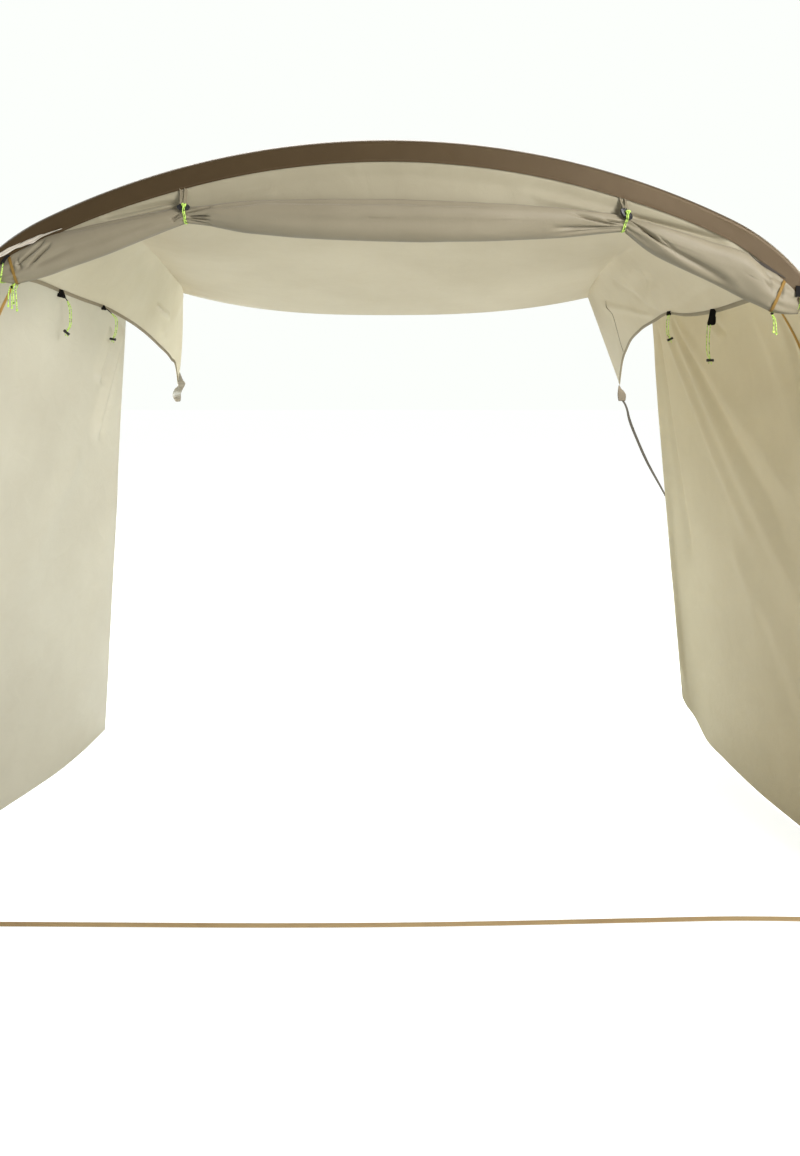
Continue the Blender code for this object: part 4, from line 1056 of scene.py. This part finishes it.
for name, (tab_path, tab_width, route, strands) in SHOULDERS.items():
    gather_route = knot_path(np.array(route[-3]) + [0, -0.002, 0.001], 0.0036)
    gather = lay_cord(f"{name}_shoulder_gather", gather_route, 0.0013)
    wear(gather, black_webbing, "black_webbing")
    tab, tab_length = webbing_strip(f"{name}_shoulder_webbing", tab_path, (1, 0, 0), tab_width, 0.0018)
    wear(tab, black_webbing, "black_webbing", f"{name}_shoulder_tab")
    for k, (aside, forward, reach) in enumerate([(0.0, 0.0, 1.0)] + strands):
        points = np.array(route)
        share = np.linspace(0, 1, len(points))[:, None]
        points = points[0] + (points - points[0]) * [1, 1, reach] + share**2 * [aside, forward, 0]
        path = smooth_path(points, 26)
        strand = lay_cord(f"{name}_shoulder_strand_{k + 1}", path)
        wear(strand, neon, "neon_cord", *([f"{name}_shoulder_cord"] if k == 0 else []))
        knot_route = knot_path(path[-1] - [0, 0, 0.002], 0.0028, k)
        knot = lay_cord(f"{name}_shoulder_knot_{k + 1}", knot_route, 0.0011)
        wear(knot, neon, "neon_cord")


# Eave ties: on each side two short folds of black webbing are sewn over the binding. A doubled neon
# cord hangs from each and passes through a moulded barrel toggle; its ends stick out below.

def barrel_toggle(name, centre, tilt):
    """A slim barrel with a waist, lying level; tilt turns its right end down."""
    bpy.ops.object.select_all(action="DESELECT")
    bpy.ops.mesh.primitive_cylinder_add(vertices=28, radius=0.0054, depth=0.025)
    toggle = bpy.context.object
    toggle.name = name
    bpy.ops.object.mode_set(mode="EDIT")
    for cut in (-0.0045, -0.0015, 0.0015, 0.0045):
        bpy.ops.mesh.select_all(action="SELECT")
        bpy.ops.mesh.bisect(plane_co=(0, 0, cut), plane_no=(0, 0, 1))
    bpy.ops.mesh.select_mode(type="VERT")
    bpy.ops.object.mode_set(mode="OBJECT")
    for point in toggle.data.vertices:
        point.select = abs(point.co.z) < 0.002
    bpy.ops.object.mode_set(mode="EDIT")
    bpy.ops.transform.resize(value=(0.85, 0.85, 1), center_override=(0, 0, 0))
    bpy.ops.object.mode_set(mode="OBJECT")
    toggle.rotation_euler = (0, math.pi / 2 + tilt, 0)
    toggle.location = centre
    bpy.ops.object.transform_apply(location=True, rotation=True, scale=True)
    apply_modifier(toggle, "BEVEL", width=0.0011, segments=3, limit_method="ANGLE",
                   angle_limit=math.radians(60))
    toggle.data.shade_smooth()
    toggle.data.set_sharp_from_angle(angle=math.radians(40))
    return toggle


# For each tie: top and foot of the tab, the way its width lies, its width, the cord's route, and the
# toggle's middle and tilt
EAVE_TIES = {
    "left_front": ((-1.172, 0.640, 1.858), (-1.171, 0.640, 1.831), (1.0, 0.10, -0.25), 0.027,
                   [(-1.1562, 0.655, 1.8188), (-1.1472, 0.655, 1.794), (-1.1454, 0.655, 1.769),
                    (-1.1490, 0.655, 1.7252)], (-1.1598, 0.655, 1.7062), 0.72),
    "left_rear": ((-1.1665, 1.050, 1.844), (-1.1655, 1.050, 1.826), (1.0, 0.15, -0.15), 0.016,
                  [(-1.1446, 1.081, 1.8133), (-1.1282, 1.082, 1.793), (-1.1253, 1.081, 1.757),
                   (-1.1345, 1.079, 1.718)], (-1.1393, 1.078, 1.708), 0.15),
    "right_rear": ((1.153, 1.130, 1.828), (1.151, 1.130, 1.811), (0.95, -0.20, 0.1), 0.016,
                   [(1.1530, 1.130, 1.8130), (1.1505, 1.135, 1.790), (1.151, 1.140, 1.760),
                    (1.1535, 1.140, 1.729)], (1.1614, 1.140, 1.7117), -0.45),
    "right_front": ((1.1770, 0.700, 1.796), (1.1680, 0.700, 1.737), (1.0, 0.05, 0.1), 0.024,
                    [(1.1600, 0.699, 1.738), (1.1572, 0.700, 1.690), (1.1595, 0.700, 1.625)],
                    (1.1644, 0.700, 1.6081), 0.0),
}

# Short black loops that join the left tabs to their cords
LOOPS = {"left_front": [(-1.1645, 0.638, 1.834), (-1.1600, 0.645, 1.829), (-1.1562, 0.655, 1.8188)],
         "left_rear": [(-1.1600, 1.052, 1.832), (-1.1530, 1.065, 1.824), (-1.1446, 1.081, 1.8133)]}
for name, (top, foot, across, width, route, middle, tilt) in EAVE_TIES.items():
    side_name = name.split("_")[0]
    side = -1 if side_name == "left" else 1
    top, foot, middle = np.array(top), np.array(foot), np.array(middle)
    back = np.array([side * 0.0024, 0.0012, 0.0])
    taper = np.array([0.50, 0.78, 1, 1, 1, 0.8] if side < 0 else [1.0] * 6)[:, None]
    line = [top, (top + foot) / 2 - back * 0.4, foot, foot + back / 2 - [0, 0, 0.001], foot + back,
            (top + foot) / 2 + back]
    tab, tab_length = webbing_strip(f"{name}_tie_webbing", line, taper * across, width, 0.0011)
    wear(tab, black_webbing, "black_webbing", f"{name}_tab")
    if name in LOOPS:
        loop = lay_cord(f"{name}_black_loop", smooth_path(LOOPS[name], 14), 0.0018)
        wear(loop, black_webbing, "black_webbing")
    toggle = barrel_toggle(f"{name}_barrel", middle, tilt)
    wear(toggle, black_plastic, "black_plastic", f"{name}_toggle")
    for k, aside in enumerate((-1, 1)):
        points = np.array(route + [middle, middle + [0.002 * aside, 0, -0.012 - 0.003 * k]])
        apart = 0.0045 if name == "right_front" else 0.0012
        spread = np.interp(np.arange(len(points)), [0, 1, len(route) - 1, len(route), len(route) + 1],
                           [apart, 0.0040, 0.0030, 0.0014, 0.0030])
        points[:, 0] += aside * spread
        points[:, 1] -= aside * spread * 0.4
        path = smooth_path(points, 40)
        cord = lay_cord(f"{name}_tie_cord_{k + 1}", path)
        wear(cord, neon, "neon_cord", *([f"{name}_cord"] if k == 0 else []))


# Rear tips: a loop of 36 mm taupe webbing is sewn to each. The left one hangs limp and twisted; the
# right one is drawn tight by a strap of thin brown webbing that runs down to a peg behind the wall.

def loop_path(middles, widths, turns, tip_y, lean):
    """Both layers of a flat loop: its middle line, and how wide and how turned it lies there."""
    down = [np.array([x, tip_y - 0.004 - 0.006 * math.sin(math.pi * k / len(middles)), z])
            for k, (x, z) in enumerate(middles)]
    up = [np.array([x + lean, tip_y + 0.004 + 0.006 * math.sin(math.pi * k / len(middles)), z])
          for k, (x, z) in enumerate(middles)]
    sides = [np.array([width * math.cos(turn), width * math.sin(turn), 0])
             for width, turn in zip(widths, turns)]
    return down + up[::-1], sides + sides[::-1]


TIP_WIDTH = 0.036
LEFT_LOOP = [(-1.2085, 1.600), (-1.2000, 1.571), (-1.1965, 1.556), (-1.1910, 1.538), (-1.1945, 1.524),
             (-1.2055, 1.510), (-1.2155, 1.491), (-1.2200, 1.473), (-1.2175, 1.454), (-1.2130, 1.436)]
LEFT_WIDTHS = [0.20, 0.30, 0.45, 0.95, 0.95, 1.0, 1.05, 1.1, 1.0, 1.0]
LEFT_TURNS = [0.2, 0.2, 0.3, 0.80, 0.9, 0.55, 0.0, -0.1, 0.65, 1.35]
RIGHT_LOOP = [(1.2660, 1.526), (1.2680, 1.510), (1.2745, 1.495), (1.2790, 1.480), (1.2810, 1.455),
              (1.2810, 1.440)]
RIGHT_WIDTHS = [0.20, 0.45, 0.90, 1.22, 1.25, 1.15]
RIGHT_TURNS = [0.3, 0.3, 0.25, 0.2, 0.2, 0.3]
# The loops are the same taupe webbing: the left one is painted lighter and the right one darker, painted
# light and painted shade.
for name, lines, lean, colour, shade in (
        ("left", (LEFT_LOOP, LEFT_WIDTHS, LEFT_TURNS), 0.004, tone(166, 158, 142), tone(146, 138, 122)),
        ("right", (RIGHT_LOOP, RIGHT_WIDTHS, RIGHT_TURNS), 0.002, tone(112, 103, 88), tone(94, 86, 73))):
    tip_webbing = woven(f"{name}_tip_webbing_weave", colour, shade, 0.85, pitch=0.0022, crinkle=0.4)
    path, sides = loop_path(*lines, REAR_Y, lean)
    loop, loop_length = webbing_strip(f"{name}_tip_webbing", path, sides, TIP_WIDTH, 0.0011)
    wear(loop, tip_webbing, "taupe_webbing", f"{name}_tip_loop")
    TIP_WIDTH * loop_length * 0.85

brown_webbing = woven("brown_webbing_weave", tone(46, 40, 29), tone(37, 32, 23), 0.80, pitch=0.0018,
                      crinkle=0.2)
STRAP_WIDTH = 0.020
STRAP = [(1.2820, 2.352, 1.446), (1.2945, 2.346, 1.428), (1.3055, 2.343, 1.402), (1.3210, 2.342, 1.338),
         (1.3660, 2.342, 1.221), (1.4150, 2.342, 1.110), (1.507, 2.343, 0.940), (1.700, 2.344, 0.570),
         (1.880, 2.345, 0.212), (1.9713, 2.345, 0.034)]
strap_sides = [(0.70, 0.70, 0.1)] * 3 + [(0.80, 0.56, 0.2)] * 3 + [(0.60, 0.75, 0.25)] * 4
strap, strap_length = webbing_strip("rear_strap_webbing", STRAP, strap_sides, STRAP_WIDTH, 0.0014)
wear(strap, brown_webbing, "brown_webbing", "rear_strap")
zinc = speckled("zinc_plated_steel", tone(150, 150, 148), tone(110, 108, 104), 700, 0.40, 0.85)
dress(cad["rear_peg"], zinc)


# Sleeve corner: at the right shoulder a thin strip of the sleeve cloth, painted darker, lies just before
# the sleeve's lower edge above the roll. It stands for the sleeve's back layer there and shows as a thin
# dark wedge of painted shade.

CORNER = [(1.0114, -0.0060, 1.8831), (1.0335, -0.0062, 1.8596), (1.0572, -0.0064, 1.8440),
          (1.0824, -0.0062, 1.8308), (1.1131, -0.0060, 1.8129)]
CORNER_WIDTH = 0.011
corner_sides = [(0, 0, share) for share in (0.20, 0.55, 1.35, 0.70, 0.20)]
corner, corner_length = webbing_strip("sleeve_corner", CORNER, corner_sides, CORNER_WIDTH, 0.0011)
# A darker copy of the sleeve cloth: painted shade.
shaded_sleeve = woven("shaded_sleeve_cloth", tone(44, 34, 20), tone(35, 26, 15), 0.75, crinkle=0.5)
wear(corner, shaded_sleeve, "sleeve")
CORNER_WIDTH * corner_length * 0.65


# Ground strap: 18 mm orange-brown webbing that joins the two feet along the ground. It lies flat and
# a little wavy, as the ground leaves it.

GROUND_WIDTH = 0.018
GROUND = [(-1.478, 0.0, 0.0045), (-1.30, 0.002, 0.0030), (-1.00, 0.003, 0.0016),
          (-0.70, 0.000, 0.0018), (-0.40, -0.002, 0.0016), (0.05, 0.001, 0.0016),
          (0.35, 0.008, 0.0018), (0.70, 0.020, 0.0016), (1.00, 0.028, 0.0018),
          (1.25, 0.020, 0.0030), (1.478, 0.0, 0.0045)]
strap_weave = woven("orange_strap_weave", tone(176, 150, 104), tone(150, 122, 78), 0.80, pitch=0.0020,
                    crinkle=0.3)
ground, ground_length = webbing_strip("ground_webbing", GROUND, (0, 1, 0), GROUND_WIDTH, 0.0016)
wear(ground, strap_weave, "orange_tape", "ground_strap")
